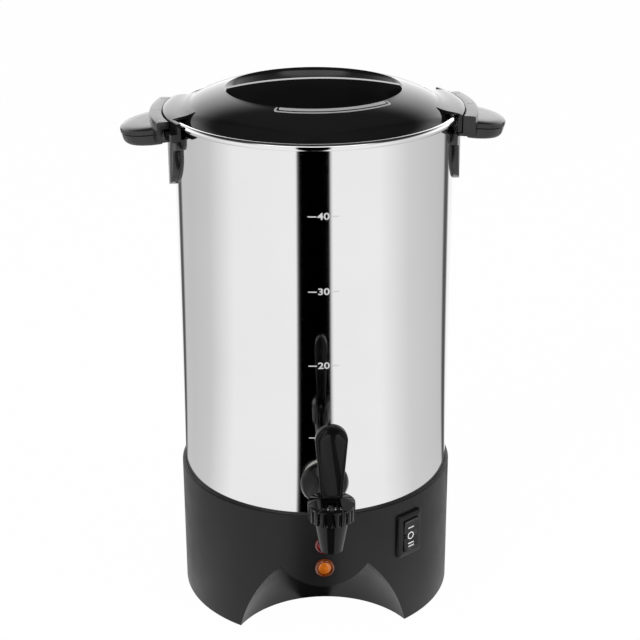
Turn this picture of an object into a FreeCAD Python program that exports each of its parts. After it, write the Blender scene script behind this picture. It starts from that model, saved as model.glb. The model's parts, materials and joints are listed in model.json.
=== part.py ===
import FreeCAD, Part
import math
import os

V = FreeCAD.Vector

# A coffee urn that holds about 40 cups. Lengths are in millimetres.
# While it is drawn, the urn's own axis is the Z axis, the tap points to -Y and the table is at z = 0.

# The tank's outside and the rim of the base around it
TANK_R = 96.0
TANK_GAP = 0.15
BASE_RIM = 2.45

# Base housing
BASE_R = TANK_R + TANK_GAP + BASE_RIM
BASE_TOP = 99.2
BASE_WALL = 2.5
BASE_TOP_EDGE = 1.2
SKIRT_LIFT = 0.8
SEAT_INNER_R = TANK_R - 12.0
SEAT_THICK = 4.0

# Cup niche in the front of the base, a round hollow about its own upright axis
NICHE_Y = -BASE_R - 12.8
NICHE_R = 67.9
NICHE_MID_R = 55.5
NICHE_MID_Z = 31.1
NICHE_SHOULDER_R = 35.6
NICHE_SHOULDER_Z = 58.0
NICHE_TOP_Z = 75.0
LOBE_R = 39.0
LOBE_Z = 82.0

# Underside
COVER_Z = 8.0
COVER_THICK = 2.0
COVER_GAP = 0.3
FOOT_R = 7.5
FOOT_SPREAD = 0.8
FOOT_RING_R = BASE_R - 15.6
FOOT_NICHE_GAP = 7.4
BACK_FOOT_ANGLE = 135.0
POST_R = 5.0
POST_RING_R = BASE_R - 9.1
POST_ANGLES = (68, 155, 205, 292)
SCREW_R = 1.5
SCREW_HEAD_R = 3.2
SCREW_HEAD_H = 2.0
SCREW_DEPTH = 12.0
SCREW_CLEARANCE = 0.05
ROD_R = 2.0
ROD_RING_R = TANK_R - 20.0
ROD_ANGLES = (100, 165, 260)
ROD_HOLE_GAP = 0.3
NUT_R = 4.0
NUT_H = 3.2

# Lamps on the lobe
LAMP_LENS_R = 6.8
LAMP_BODY_R = 5.0
LAMP_STAND = 2.2
LAMP_DEPTH = 14.0
AMBER_Z = 58.3
RED_Z = 76.5
LAMP_CHAMFER = 1.1

# Rocker switch
SWITCH_ANGLE = 38.0
SWITCH_Z = 71.7
BEZEL_W = 22.5
BEZEL_H = 33.6
BEZEL_STAND = 2.2
BEZEL_CORNER = 2.5
SWITCH_BODY_W = 19.0
SWITCH_BODY_H = 24.0
SWITCH_WINDOW_H = 29.0
SWITCH_BODY_DEPTH = 17.0
ROCKER_W = 12.8
ROCKER_R = 12.2
ROCKER_STAND = 1.4
ROCKER_DISH = 1.0
ROCKER_GAP = 0.35
ROCKER_DEPTH = 6.0
TRUNNION_R = 1.5
TRUNNION_LENGTH = 1.8

# Mains inlet at the back
INLET_Z = 34.0
INLET_W = 27.0
INLET_H = 19.6
INLET_RIM = 2.0
INLET_WALL = 1.6
INLET_CORNER = 3.5
INLET_DEPTH = 18.0
INLET_STAND = 2.2
PIN_W = 2.0
PIN_H = 4.0
PIN_SPREAD = 7.0
PIN_SHORT = 5.0

# Tank
TANK_WALL = 0.8
TANK_BOTTOM = 84.0
TANK_CORNER = 6.0
WELL_R = 24.0
WELL_DEPTH = 8.0
BEAD_R = TANK_R + 1.3
BEAD_TUBE = 2.4
BEAD_Z = 359.7
LEDGE_IN = 3.0
LEDGE_THICK = 2.0
LEDGE_TOP = 355.6

# Lid
SEAL_THICK = 1.6
SEAL_WIDTH = 1.8
LID_DOME_R = TANK_R - 2.0
LID_DOME_H = 26.0
LID_DOME_Z = 355.7
DOME_SHARES = (1.0, 0.965, 0.89, 0.78, 0.64, 0.32, 0.0)
LID_WALL = 2.6
LID_EDGE_R = TANK_R - TANK_WALL - 0.7
LID_EDGE_H = 2.4
SCOOP_R = 59.4
SCOOP_RIM_Z = 375.6
SCOOP_FLARE = 2.2
SCOOP_FLOOR_R = 32.0
SCOOP_FLOOR_Z = 352.0
SCOOP_BELLY_R = 50.0
SCOOP_BELLY_Z = 357.0
SCOOP_SIDE_R = 56.4
SCOOP_SIDE_Z = 366.0
GRIP_WALL_TOP = 3.9
GRIP_WALL_FOOT = 6.0

# Locking lugs on the lid
LUG_SPAN = 19.5
LUG_TOP = 364.4
LUG_UNDER = 362.5
LUG_INNER_R = LID_DOME_R - 5.5
LUG_KNEE_R = LUG_INNER_R + 9.0
LUG_LIP_R = BEAD_R + BEAD_TUBE + 0.6
LUG_LIP_THICK = 2.6
LUG_OUTER_R = LUG_LIP_R + LUG_LIP_THICK
LUG_OUTER_TOP = 363.0
LUG_LIP_BOTTOM = 351.0
LUG_DROP_GAP = 1.0
LUG_SIDE_GAP = 0.7
TONGUE_REACH = 4.3
TONGUE_R = LUG_OUTER_R + TONGUE_REACH
TONGUE_BOTTOM = 351.0
TONGUE_TOP = 356.0
TONGUE_START = 20.2
TONGUE_SPAN = 6.0

# Handles
PLATE_INNER_R = LUG_OUTER_R + LUG_SIDE_GAP
PLATE_TOP = 362.0
PLATE_BOTTOM = 348.0
PLATE_SPAN = 19.0
PLATE_EDGE = 1.2
POCKET_GAP = 1.2
POCKET_R = TONGUE_R + POCKET_GAP
POCKET_WALL = 3.6
PLATE_OUTER_R = POCKET_R + POCKET_WALL
POCKET_BOTTOM = 350.2
POCKET_TOP = 357.0
POCKET_END = 15.0
GRIP_REACH = 20.2
GRIP_TIP = PLATE_OUTER_R + GRIP_REACH
GRIP_CENTRE = PLATE_OUTER_R - 8.0
GRIP_HALF_W = 27.0
GRIP_BOTTOM = 340.0
GRIP_ROOT_TOP = 354.4
GRIP_TIP_TOP = 350.2
GRIP_LIP = 348.4
GRIP_INSET = 1.4
GRIP_DRAFT = 4.6
GRIP_WALL = 3.0
GRIP_ROOF = 3.2
HANDLE_GAP = 0.1
SHIELD_THICK = 5.6
SHIELD_R = TANK_R + HANDLE_GAP + SHIELD_THICK
SHIELD_HALF_W = 29.0
SHIELD_DROP = 25.5
SHIELD_BEND_Z = 336.0
SHIELD_TOP_HALF_W = 36.0
SHIELD_TOP_LOW = 341.0
SHIELD_CORNER = 5.0
SHIELD_GROOVE = 1.8
SHIELD_GROOVE_DEPTH = 2.6
SHIELD_SKIN = 2.1
HANDLE_SCREW_R = 2.0
HANDLE_SCREW_HEAD_R = 4.2
HANDLE_SCREW_HEAD_H = 2.4
HANDLE_SCREW_Z = 344.5
HANDLE_SCREW_REACH = 7.5

# Tap
TAP_REACH = 69.0
TAP_Y = -TANK_R - TAP_REACH
TAP_SHANK_Z = 125.0
SHANK_R = 7.5
SHANK_BORE_R = 4.5
SHANK_THREAD_R = 8.5
SHANK_HOLE_GAP = 0.2
SHANK_INNER_END = 16.0 - TANK_R
ESCUTCHEON_R = 16.5
ESCUTCHEON_Y = -TANK_R - 3.5
ESCUTCHEON_THICK = 4.0
GASKET_R = 15.0
TAP_NUT_R = 13.5
TAP_NUT_H = 6.0
INNER_GASKET_Y = 6.0 - TANK_R
CUP_TOP_R = 11.8
CUP_BOTTOM_R = 7.5
CUP_BOTTOM_Z = 112.0
CUP_TOP_Z = 135.1
VALVE_BORE_R = 6.6
SEAT_Z = 116.0
OUTLET_R = 4.6
BONNET_R = 15.25
BONNET_TOP = 145.6
BONNET_SKIRT = 10.5
FLUTE_COUNT = 20
FLUTE_R = 1.3
BONNET_ROOF = 3.0
BONNET_BORE_R = 11.9
LEVER_SLOT_HALF_W = 6.0
LEVER_SLOT_BACK = 6.4
PIVOT_Z = 140.0
PIVOT_R = 1.5
PIVOT_CLEARANCE = 0.05
LEVER_TIP_Z = 200.0
LEVER_TOP_W = 20.7
LEVER_FOOT_W = 13.6
LEVER_FOOT_Z = 149.0
LEVER_THICK = 5.0
LEVER_RIM = 1.8
LEVER_DISH = 1.2
HEEL_R = 4.0
HEEL_GAP = 0.4
FORK_OUTER = 5.4
STEM_R = 2.6
FORK_INNER = STEM_R + 0.3
STEM_TAB_HALF_W = 2.0
STEM_TAB_HALF_D = 2.4
STEM_LIFT = 3.0
PLUNGER_R = 6.3
PLUNGER_H = 5.0
SPRING_R = 5.4
SPRING_WIRE = 0.9
SPRING_GAP = 0.4

# Heater under the tank
HEATER_PLATE_INNER = 26.0
HEATER_PLATE_R = TANK_R - 28.0
HEATER_PLATE_THICK = 3.5
ELEMENT_RING_R = 56.0
ELEMENT_R = 4.0
ELEMENT_OPENING = 36.0
TERMINAL_LENGTH = 10.0
WARM_RING_R = 38.0
WARM_R = 2.6
THERMOSTAT_R = 8.5
THERMOSTAT_H = 9.0
THERMOSTAT_EAR = 15.0
FUSE_R = 2.2
FUSE_LENGTH = 18.0
FUSE_Y = 47.0
CONTACT_GAP = 0.05

# Brewing set that stands in the tank
PUMP_FOOT_R = 20.0
PUMP_FOOT_H = 7.0
PUMP_TUBE_R = 5.0
PUMP_TUBE_WALL = 0.7
PUMP_TUBE_TOP = 340.0
COLLAR_R = 8.5
COLLAR_THICK = 2.0
BASKET_Z = 270.0
BASKET_R = 58.0
BASKET_H = 52.0
BASKET_WALL = 0.8
BASKET_RIM = 2.0
BASKET_SLEEVE_R = 6.5
BASKET_HOLE_R = 2.0
BASKET_RING_R = (18.0, 31.0, 44.0)
BASKET_RING_COUNT = (6, 10, 14)
COVER_CAP_R = 56.6
COVER_CAP_DISH = 5.0
COVER_CAP_WALL = 0.8
COVER_HOLE_RING_R = 34.0
COVER_HOLE_COUNT = 12
SLIP_GAP = 0.3

CUT_MARGIN = 5.0


def wire(start, *steps):
    """A closed outline. A point ends a straight run, and a pair of points is an arc through both."""
    edges = []
    here = V(start[0], start[1], 0)
    for step in steps + (start,):
        if isinstance(step[0], tuple):
            middle = V(step[0][0], step[0][1], 0)
            end = V(step[1][0], step[1][1], 0)
            edges.append(Part.Arc(here, middle, end).toShape())
        else:
            end = V(step[0], step[1], 0)
            if here.distanceToPoint(end) < 1e-7:
                continue
            edges.append(Part.LineSegment(here, end).toShape())
        here = end
    return Part.Wire(edges)


def revolved(outline, start_angle=0.0, sweep=360.0):
    """A radius and height outline turned about the upright axis, from start_angle on, counted from +X."""
    solid = Part.Face(outline).revolve(V(0, 0, 0), V(0, 1, 0), sweep)
    solid.rotate(V(0, 0, 0), V(1, 0, 0), 90)
    solid.rotate(V(0, 0, 0), V(0, 0, 1), start_angle)
    return solid


def cylinder(radius, low, high, x=0.0, y=0.0):
    return Part.makeCylinder(radius, high - low, V(x, y, low))


def tube(inner, outer, low, high):
    return cylinder(outer, low, high).cut(cylinder(inner, low - CUT_MARGIN, high + CUT_MARGIN))


def cylinder_y(radius, low, high, z, x=0.0):
    return Part.makeCylinder(radius, high - low, V(x, low, z), V(0, 1, 0))


def cylinder_x(radius, low, high, y, z):
    return Part.makeCylinder(radius, high - low, V(low, y, z), V(1, 0, 0))


def block(x0, x1, y0, y1, z0, z1):
    return Part.makeBox(x1 - x0, y1 - y0, z1 - z0, V(x0, y0, z0))


def turned(shape, angle):
    copy = shape.copy()
    copy.rotate(V(0, 0, 0), V(0, 0, 1), angle)
    return copy


def ring_point(radius, angle):
    """A place on a ring about the urn, with its angle counted from the tap towards +X."""
    return radius * math.sin(math.radians(angle)), -radius * math.cos(math.radians(angle))


def hex_prism(across_r, low, high, x, y):
    corners = []
    for side in range(7):
        turn = math.radians(60 * side)
        corners.append(V(x + across_r * math.cos(turn), y + across_r * math.sin(turn), low))
    return Part.Face(Part.makePolygon(corners)).extrude(V(0, 0, high - low))


def one_solid(shape):
    """The tidy form of a shape, as a bare solid where there is only one."""
    clean = shape.removeSplitter()
    if len(clean.Solids) == 1:
        return clean.Solids[0]
    return clean


# Base housing with its niche, its lobe, its tank seat and its posts

def niche_body(grow):
    """The round hollow of the cup niche, made larger all over by grow."""
    profile = wire(
        (0, -CUT_MARGIN),
        (NICHE_R + grow, -CUT_MARGIN),
        (NICHE_R + grow, 0),
        ((NICHE_MID_R + grow, NICHE_MID_Z + grow / 2), (NICHE_SHOULDER_R + grow, NICHE_SHOULDER_Z + grow)),
        ((NICHE_SHOULDER_R / 2, (NICHE_SHOULDER_Z + 2 * NICHE_TOP_Z) / 3 + grow), (0, NICHE_TOP_Z + grow)),
    )
    body = revolved(profile)
    body.translate(V(0, NICHE_Y, 0))
    return body


def niche_void(grow):
    """The hollow, less the lobe that hangs over it."""
    lobe = cylinder_y(LOBE_R - grow, NICHE_Y - NICHE_R, 0, LOBE_Z)
    return niche_body(grow).cut(lobe)


def posts(radius, low, high):
    made = []
    for angle in POST_ANGLES:
        x, y = ring_point(POST_RING_R, angle)
        made.append(cylinder(radius, low, high, x, y))
    return made


def base_housing():
    outer = cylinder(BASE_R, SKIRT_LIFT, BASE_TOP)
    top_edges = [edge for edge in outer.Edges if edge.BoundBox.ZMin > BASE_TOP - 0.1]
    outer = outer.makeFillet(BASE_TOP_EDGE, top_edges)
    seat_low = TANK_BOTTOM - SEAT_THICK
    room = cylinder(BASE_R - BASE_WALL, -CUT_MARGIN, seat_low)
    room = room.cut(niche_void(BASE_WALL))
    for post in posts(POST_R, COVER_Z + COVER_THICK, BASE_TOP):
        room = room.cut(post)
    housing = outer.cut(room)
    housing = housing.cut(cylinder(SEAT_INNER_R, seat_low - CUT_MARGIN, BASE_TOP).cut(niche_void(BASE_WALL)))
    housing = housing.cut(cylinder(TANK_R + TANK_GAP, TANK_BOTTOM, BASE_TOP + CUT_MARGIN))
    housing = housing.cut(niche_void(0))
    screw_top = COVER_Z + SCREW_DEPTH + SCREW_CLEARANCE
    for hole in posts(SCREW_R + SCREW_CLEARANCE, COVER_Z, screw_top):
        housing = housing.cut(hole)
    for height in (AMBER_Z, RED_Z):
        front = -BASE_R - CUT_MARGIN
        housing = housing.cut(cylinder_y(LAMP_BODY_R + CONTACT_GAP, front, -BASE_R + LAMP_DEPTH, height))
    housing = housing.cut(turned(switch_block(CONTACT_GAP), SWITCH_ANGLE))
    housing = housing.cut(inlet_block(CONTACT_GAP))
    return one_solid(housing)


def base_cover():
    plate = cylinder(BASE_R - BASE_WALL - COVER_GAP, COVER_Z, COVER_Z + COVER_THICK)
    plate = plate.cut(niche_body(BASE_WALL + COVER_GAP))
    for hole in posts(SCREW_R + SCREW_CLEARANCE, 0, COVER_Z + COVER_THICK + CUT_MARGIN):
        plate = plate.cut(hole)
    for angle in ROD_ANGLES:
        x, y = ring_point(ROD_RING_R, angle)
        plate = plate.cut(cylinder(ROD_R + ROD_HOLE_GAP, 0, COVER_Z + COVER_THICK + CUT_MARGIN, x, y))
    return one_solid(plate)


def cover_screws():
    made = []
    for angle in POST_ANGLES:
        x, y = ring_point(POST_RING_R, angle)
        head = cylinder(SCREW_HEAD_R, COVER_Z - SCREW_HEAD_H, COVER_Z, x, y)
        made.append(head.fuse(cylinder(SCREW_R, COVER_Z, COVER_Z + SCREW_DEPTH, x, y)).removeSplitter())
    return Part.Compound(made)


def rubber_feet():
    made = []
    clear = NICHE_R + BASE_WALL + FOOT_NICHE_GAP + FOOT_R + FOOT_SPREAD
    shared = FOOT_RING_R ** 2 + NICHE_Y ** 2 - clear ** 2
    front = math.degrees(math.acos(shared / (-2 * FOOT_RING_R * NICHE_Y)))
    for angle in (front, BACK_FOOT_ANGLE, -BACK_FOOT_ANGLE, -front):
        x, y = ring_point(FOOT_RING_R, angle)
        made.append(Part.makeCone(FOOT_R, FOOT_R + FOOT_SPREAD, COVER_Z, V(x, y, 0)))
    return Part.Compound(made)


def tie_rods():
    made = []
    for angle in ROD_ANGLES:
        x, y = ring_point(ROD_RING_R, angle)
        made.append(cylinder(ROD_R, COVER_Z - NUT_H, TANK_BOTTOM, x, y))
    return Part.Compound(made)


def tie_nuts():
    made = []
    for angle in ROD_ANGLES:
        x, y = ring_point(ROD_RING_R, angle)
        nut = hex_prism(NUT_R, COVER_Z - NUT_H, COVER_Z, x, y)
        made.append(nut.cut(cylinder(ROD_R + SCREW_CLEARANCE, 0, COVER_Z, x, y)))
    return Part.Compound(made)


# Lamps, switch and inlet

def lamp(height):
    profile = wire(
        (0, 0),
        (LAMP_BODY_R, 0),
        (LAMP_BODY_R, LAMP_DEPTH - LAMP_STAND - CUT_MARGIN),
        (LAMP_LENS_R, LAMP_DEPTH - LAMP_STAND - CUT_MARGIN),
        (LAMP_LENS_R, LAMP_DEPTH - LAMP_CHAMFER),
        (LAMP_LENS_R - LAMP_CHAMFER, LAMP_DEPTH),
        (0, LAMP_DEPTH),
    )
    body = revolved(profile)
    body.rotate(V(0, 0, 0), V(1, 0, 0), 90)
    body.translate(V(0, LAMP_DEPTH - BASE_R - LAMP_STAND, height))
    inside = cylinder(BASE_R + CONTACT_GAP, height - 2 * LAMP_LENS_R, height + 2 * LAMP_LENS_R)
    collar = inside.cut(cylinder_y(LAMP_BODY_R, -BASE_R - CUT_MARGIN, BASE_R, height))
    return one_solid(body.cut(collar))


def switch_block(grow):
    """The room that the switch takes: a window in the wall, and a shorter box behind it."""
    half_w = SWITCH_BODY_W / 2 + grow
    half_h = SWITCH_BODY_H / 2 + grow
    half_window = SWITCH_WINDOW_H / 2 + grow
    front = -BASE_R - CUT_MARGIN
    box = block(-half_w, half_w, front, -BASE_R + SWITCH_BODY_DEPTH, SWITCH_Z - half_h, SWITCH_Z + half_h)
    window_low = SWITCH_Z - half_window
    window = block(-half_w, half_w, front, -BASE_R + BASE_WALL, window_low, SWITCH_Z + half_window)
    return box.fuse(window)


def rocker_slab(radius, half_width, front, back):
    drum = cylinder_x(radius, -half_width, half_width, -BASE_R, SWITCH_Z)
    return drum.common(block(-half_width, half_width, front, back, SWITCH_Z - radius, SWITCH_Z + radius))


def switch_body():
    face = -BASE_R - BEZEL_STAND
    bezel = block(-BEZEL_W / 2, BEZEL_W / 2, face, -BASE_R + BEZEL_STAND,
                  SWITCH_Z - BEZEL_H / 2, SWITCH_Z + BEZEL_H / 2)
    corners = [edge for edge in bezel.Edges if edge.BoundBox.YLength > BEZEL_STAND]
    bezel = bezel.makeFillet(BEZEL_CORNER, corners)
    front_edges = [edge for edge in bezel.Edges if edge.BoundBox.YMax < face + 0.01]
    bezel = bezel.makeChamfer(BEZEL_STAND / 3, front_edges)
    bezel = bezel.cut(cylinder(BASE_R + CONTACT_GAP, SWITCH_Z - BEZEL_H, SWITCH_Z + BEZEL_H))
    inner = switch_block(0).common(block(-BEZEL_W, BEZEL_W, face + BEZEL_STAND / 2, 0, 0, 2 * SWITCH_Z))
    body = bezel.fuse(inner)
    half_well = ROCKER_W / 2 + ROCKER_GAP
    body = body.cut(cylinder_x(ROCKER_R + ROCKER_GAP, -half_well, half_well, -BASE_R, SWITCH_Z))
    reach = half_well + TRUNNION_LENGTH
    body = body.cut(cylinder_x(TRUNNION_R + SCREW_CLEARANCE, -reach, reach, -BASE_R, SWITCH_Z))
    return one_solid(turned(body, SWITCH_ANGLE))


def switch_rocker():
    front = -BASE_R - BEZEL_STAND - ROCKER_STAND
    rocker = rocker_slab(ROCKER_R, ROCKER_W / 2, front, -BASE_R + ROCKER_DEPTH)
    dish_r = (ROCKER_R ** 2 + ROCKER_DISH ** 2) / (2 * ROCKER_DISH)
    rocker = rocker.cut(cylinder_x(dish_r, -ROCKER_W, ROCKER_W, front - dish_r + ROCKER_DISH, SWITCH_Z))
    reach = ROCKER_W / 2 + TRUNNION_LENGTH
    rocker = rocker.fuse(cylinder_x(TRUNNION_R, -reach, reach, -BASE_R, SWITCH_Z))
    return one_solid(turned(rocker, SWITCH_ANGLE))


def inlet_block(grow):
    half_w = INLET_W / 2 + grow
    half_h = INLET_H / 2 + grow
    back = BASE_R + CUT_MARGIN
    return block(-half_w, half_w, BASE_R - INLET_DEPTH, back, INLET_Z - half_h, INLET_Z + half_h)


def mains_inlet():
    face = BASE_R + INLET_STAND
    half_w = INLET_W / 2 + INLET_RIM
    half_h = INLET_H / 2 + INLET_RIM
    flange = block(-half_w, half_w, BASE_R - INLET_STAND, face, INLET_Z - half_h, INLET_Z + half_h)
    corners = [edge for edge in flange.Edges if edge.BoundBox.YLength > INLET_STAND]
    flange = flange.makeFillet(INLET_RIM, corners)
    flange = flange.cut(cylinder(BASE_R + CONTACT_GAP, 0, BASE_TOP))
    inner = inlet_block(0).common(block(-INLET_W, INLET_W, 0, face, 0, BASE_TOP))
    body = flange.fuse(inner)
    half_w = INLET_W / 2 - INLET_WALL
    half_h = INLET_H / 2 - INLET_WALL
    socket = block(-half_w, half_w, BASE_R - INLET_DEPTH + INLET_WALL, face + CUT_MARGIN,
                   INLET_Z - half_h, INLET_Z + half_h)
    long_edges = [edge for edge in socket.Edges if edge.BoundBox.YLength > INLET_STAND]
    top_corners = [edge for edge in long_edges if edge.BoundBox.ZMin > INLET_Z]
    body = body.cut(socket.makeChamfer(INLET_CORNER, top_corners))
    for pin in inlet_pin_boxes(CONTACT_GAP / 2):
        body = body.cut(pin)
    return one_solid(body)


def inlet_pin_boxes(grow):
    made = []
    for x, z in ((-PIN_SPREAD, -1.5), (0, 2.5), (PIN_SPREAD, -1.5)):
        made.append(block(x - PIN_W / 2 - grow, x + PIN_W / 2 + grow,
                          BASE_R - INLET_DEPTH - PIN_SHORT, BASE_R + INLET_STAND - PIN_SHORT,
                          INLET_Z + z - PIN_H / 2 - grow, INLET_Z + z + PIN_H / 2 + grow))
    return made


def inlet_pins():
    return Part.Compound(inlet_pin_boxes(0))


# Tank and heater

def tank_form(inset):
    """The tank as a solid lump, drawn in from the steel's outside by inset."""
    radius = TANK_R - inset
    low = TANK_BOTTOM + inset
    corner = TANK_CORNER - inset
    diagonal = corner * (1 - math.sqrt(0.5))
    well_low = low - WELL_DEPTH
    profile = wire(
        (0, well_low),
        (WELL_R - inset, well_low),
        (WELL_R - inset, low),
        (radius - corner, low),
        ((radius - diagonal, low + diagonal), (radius, low + corner)),
        (radius, BEAD_Z),
        (0, BEAD_Z),
    )
    return revolved(profile)


def tank():
    inside = tank_form(TANK_WALL)
    ledge = tube(TANK_R - LEDGE_IN - TANK_WALL, TANK_R - TANK_WALL / 2, LEDGE_TOP - LEDGE_THICK, LEDGE_TOP)
    bead = Part.makeTorus(BEAD_R, BEAD_TUBE, V(0, 0, BEAD_Z))
    shell = tank_form(0).cut(inside).fuse(bead).fuse(ledge)
    hole = cylinder_y(SHANK_THREAD_R + SHANK_HOLE_GAP, -TANK_R - CUT_MARGIN, SHANK_INNER_END, TAP_SHANK_Z)
    shell = shell.cut(hole)
    reach = TANK_R + CUT_MARGIN
    shell = shell.cut(cylinder_x(HANDLE_SCREW_R + HANDLE_GAP, -reach, reach, 0, HANDLE_SCREW_Z))
    return one_solid(shell)


def heater_plate():
    return tube(HEATER_PLATE_INNER, HEATER_PLATE_R, TANK_BOTTOM - HEATER_PLATE_THICK, TANK_BOTTOM)


def element(ring_r, wire_r):
    """A bent heating rod under the plate, with two straight ends pointing down."""
    height = TANK_BOTTOM - HEATER_PLATE_THICK - wire_r - CONTACT_GAP
    section = Part.Face(Part.Wire(Part.makeCircle(wire_r, V(ring_r, 0, height), V(0, 1, 0))))
    rod = section.revolve(V(0, 0, 0), V(0, 0, 1), 360 - ELEMENT_OPENING)
    rod = turned(rod, 90 + ELEMENT_OPENING / 2)
    for sign in (-1, 1):
        angle = math.radians(90 + sign * ELEMENT_OPENING / 2)
        x = ring_r * math.cos(angle)
        y = ring_r * math.sin(angle)
        rod = rod.fuse(cylinder(wire_r * 0.9, height - TERMINAL_LENGTH, height, x, y))
    return one_solid(rod)


def thermostat():
    top = TANK_BOTTOM - WELL_DEPTH
    body = cylinder(THERMOSTAT_R, top - THERMOSTAT_H, top)
    ears = block(-THERMOSTAT_EAR, THERMOSTAT_EAR, -4, 4, top - 1, top)
    return one_solid(body.fuse(ears))


def thermal_fuse():
    height = TANK_BOTTOM - HEATER_PLATE_THICK - FUSE_R - CONTACT_GAP
    body = cylinder_x(FUSE_R, -FUSE_LENGTH / 2, FUSE_LENGTH / 2, -FUSE_Y, height)
    return body


# Lid

def dome(inset):
    """The lid's dome as a lump, a half oval in three arcs, drawn in by inset."""
    radius = LID_DOME_R - inset
    rise = LID_DOME_H - inset
    stations = [(radius * share, LID_DOME_Z + rise * math.sqrt(1 - share ** 2)) for share in DOME_SHARES]
    return revolved(wire(
        (0, LID_DOME_Z - CUT_MARGIN),
        (radius, LID_DOME_Z - CUT_MARGIN),
        stations[0],
        (stations[1], stations[2]),
        (stations[3], stations[4]),
        (stations[5], stations[6]),
    ))


def scoops(grow):
    """The round hollow in the dome, less the wall across it that the fingers hold."""
    rim_r = SCOOP_R + SCOOP_FLARE + grow
    bowl = revolved(wire(
        (0, SCOOP_FLOOR_Z - grow),
        (SCOOP_FLOOR_R, SCOOP_FLOOR_Z - grow),
        ((SCOOP_BELLY_R + grow / 2, SCOOP_BELLY_Z - grow), (SCOOP_SIDE_R + grow, SCOOP_SIDE_Z - grow)),
        (SCOOP_R - SCOOP_FLARE / 2 + grow, SCOOP_RIM_Z - SCOOP_FLARE),
        ((SCOOP_R + grow, SCOOP_RIM_Z - SCOOP_FLARE / 3), (rim_r, SCOOP_RIM_Z + SCOOP_FLARE / 2)),
        (rim_r, LID_DOME_Z + LID_DOME_H + CUT_MARGIN),
        (0, LID_DOME_Z + LID_DOME_H + CUT_MARGIN),
    ))
    reach = SCOOP_R + 2 * CUT_MARGIN
    low = SCOOP_FLOOR_Z - CUT_MARGIN
    high = LID_DOME_Z + LID_DOME_H + 2 * CUT_MARGIN
    foot = GRIP_WALL_FOOT - grow
    top = GRIP_WALL_TOP - grow
    corners = [V(-reach, -foot, low), V(-reach, foot, low), V(-reach, top, high), V(-reach, -top, high)]
    wall = Part.Face(Part.makePolygon(corners + corners[:1])).extrude(V(2 * reach, 0, 0))
    return bowl.cut(wall)


def lug(angle):
    """A locking lug over the bead, with a tongue at its leading end, centred on angle from +X."""
    plate = wire(
        (LUG_INNER_R, LUG_TOP),
        (LUG_KNEE_R, LUG_TOP),
        (LUG_OUTER_R, LUG_OUTER_TOP),
        (LUG_OUTER_R, LUG_LIP_BOTTOM),
        (LUG_LIP_R, LUG_LIP_BOTTOM),
        (LUG_LIP_R, LUG_UNDER),
        (LUG_INNER_R, LUG_UNDER),
    )
    whole = revolved(plate, -LUG_SPAN, 2 * LUG_SPAN)
    lip = wire(
        (LUG_LIP_R, TONGUE_BOTTOM),
        (LUG_OUTER_R, TONGUE_BOTTOM),
        (LUG_OUTER_R, LUG_OUTER_TOP),
        (LUG_LIP_R, LUG_OUTER_TOP),
    )
    whole = whole.fuse(revolved(lip, LUG_SPAN - 1, TONGUE_START + TONGUE_SPAN - LUG_SPAN + 1))
    tongue = wire(
        (LUG_LIP_R, TONGUE_BOTTOM),
        (TONGUE_R, TONGUE_BOTTOM),
        (TONGUE_R, TONGUE_TOP),
        (LUG_LIP_R, TONGUE_TOP),
    )
    whole = whole.fuse(revolved(tongue, TONGUE_START, TONGUE_SPAN))
    return turned(whole, angle)


def lid_edge_bottom():
    return LEDGE_TOP + SEAL_THICK


def lid_shell():
    low = lid_edge_bottom()
    outer = dome(0).cut(cylinder(TANK_R, LID_DOME_Z - 2 * CUT_MARGIN, low))
    outer = outer.fuse(cylinder(LID_EDGE_R, low, low + LID_EDGE_H))
    outer = outer.cut(scoops(0))
    inner = dome(LID_WALL).cut(scoops(LID_WALL))
    below = scoops(LID_WALL).common(cylinder(SCOOP_R, SCOOP_FLOOR_Z - 2 * CUT_MARGIN, low + LID_EDGE_H))
    floor = below.cut(scoops(0)).cut(inner)
    shell = outer.cut(inner).fuse(floor)
    for angle in (0, 180):
        shell = shell.fuse(lug(angle))
    return one_solid(shell)


def lid_seal():
    return tube(LID_EDGE_R - SEAL_WIDTH, LID_EDGE_R, LEDGE_TOP, lid_edge_bottom())


# Handles

def grip_oval(inset, height):
    """The outline of the hand hold, seen from above."""
    half_length = GRIP_TIP - GRIP_CENTRE - inset
    half_width = GRIP_HALF_W - inset
    centre = V(GRIP_CENTRE, 0, height)
    along = V(half_length, 0, 0)
    across = V(0, half_width, 0)
    if half_length > half_width:
        oval = Part.Ellipse(centre + along, centre + across, centre)
    else:
        oval = Part.Ellipse(centre + across, centre - along, centre)
    return Part.Wire(oval.toShape())


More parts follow.
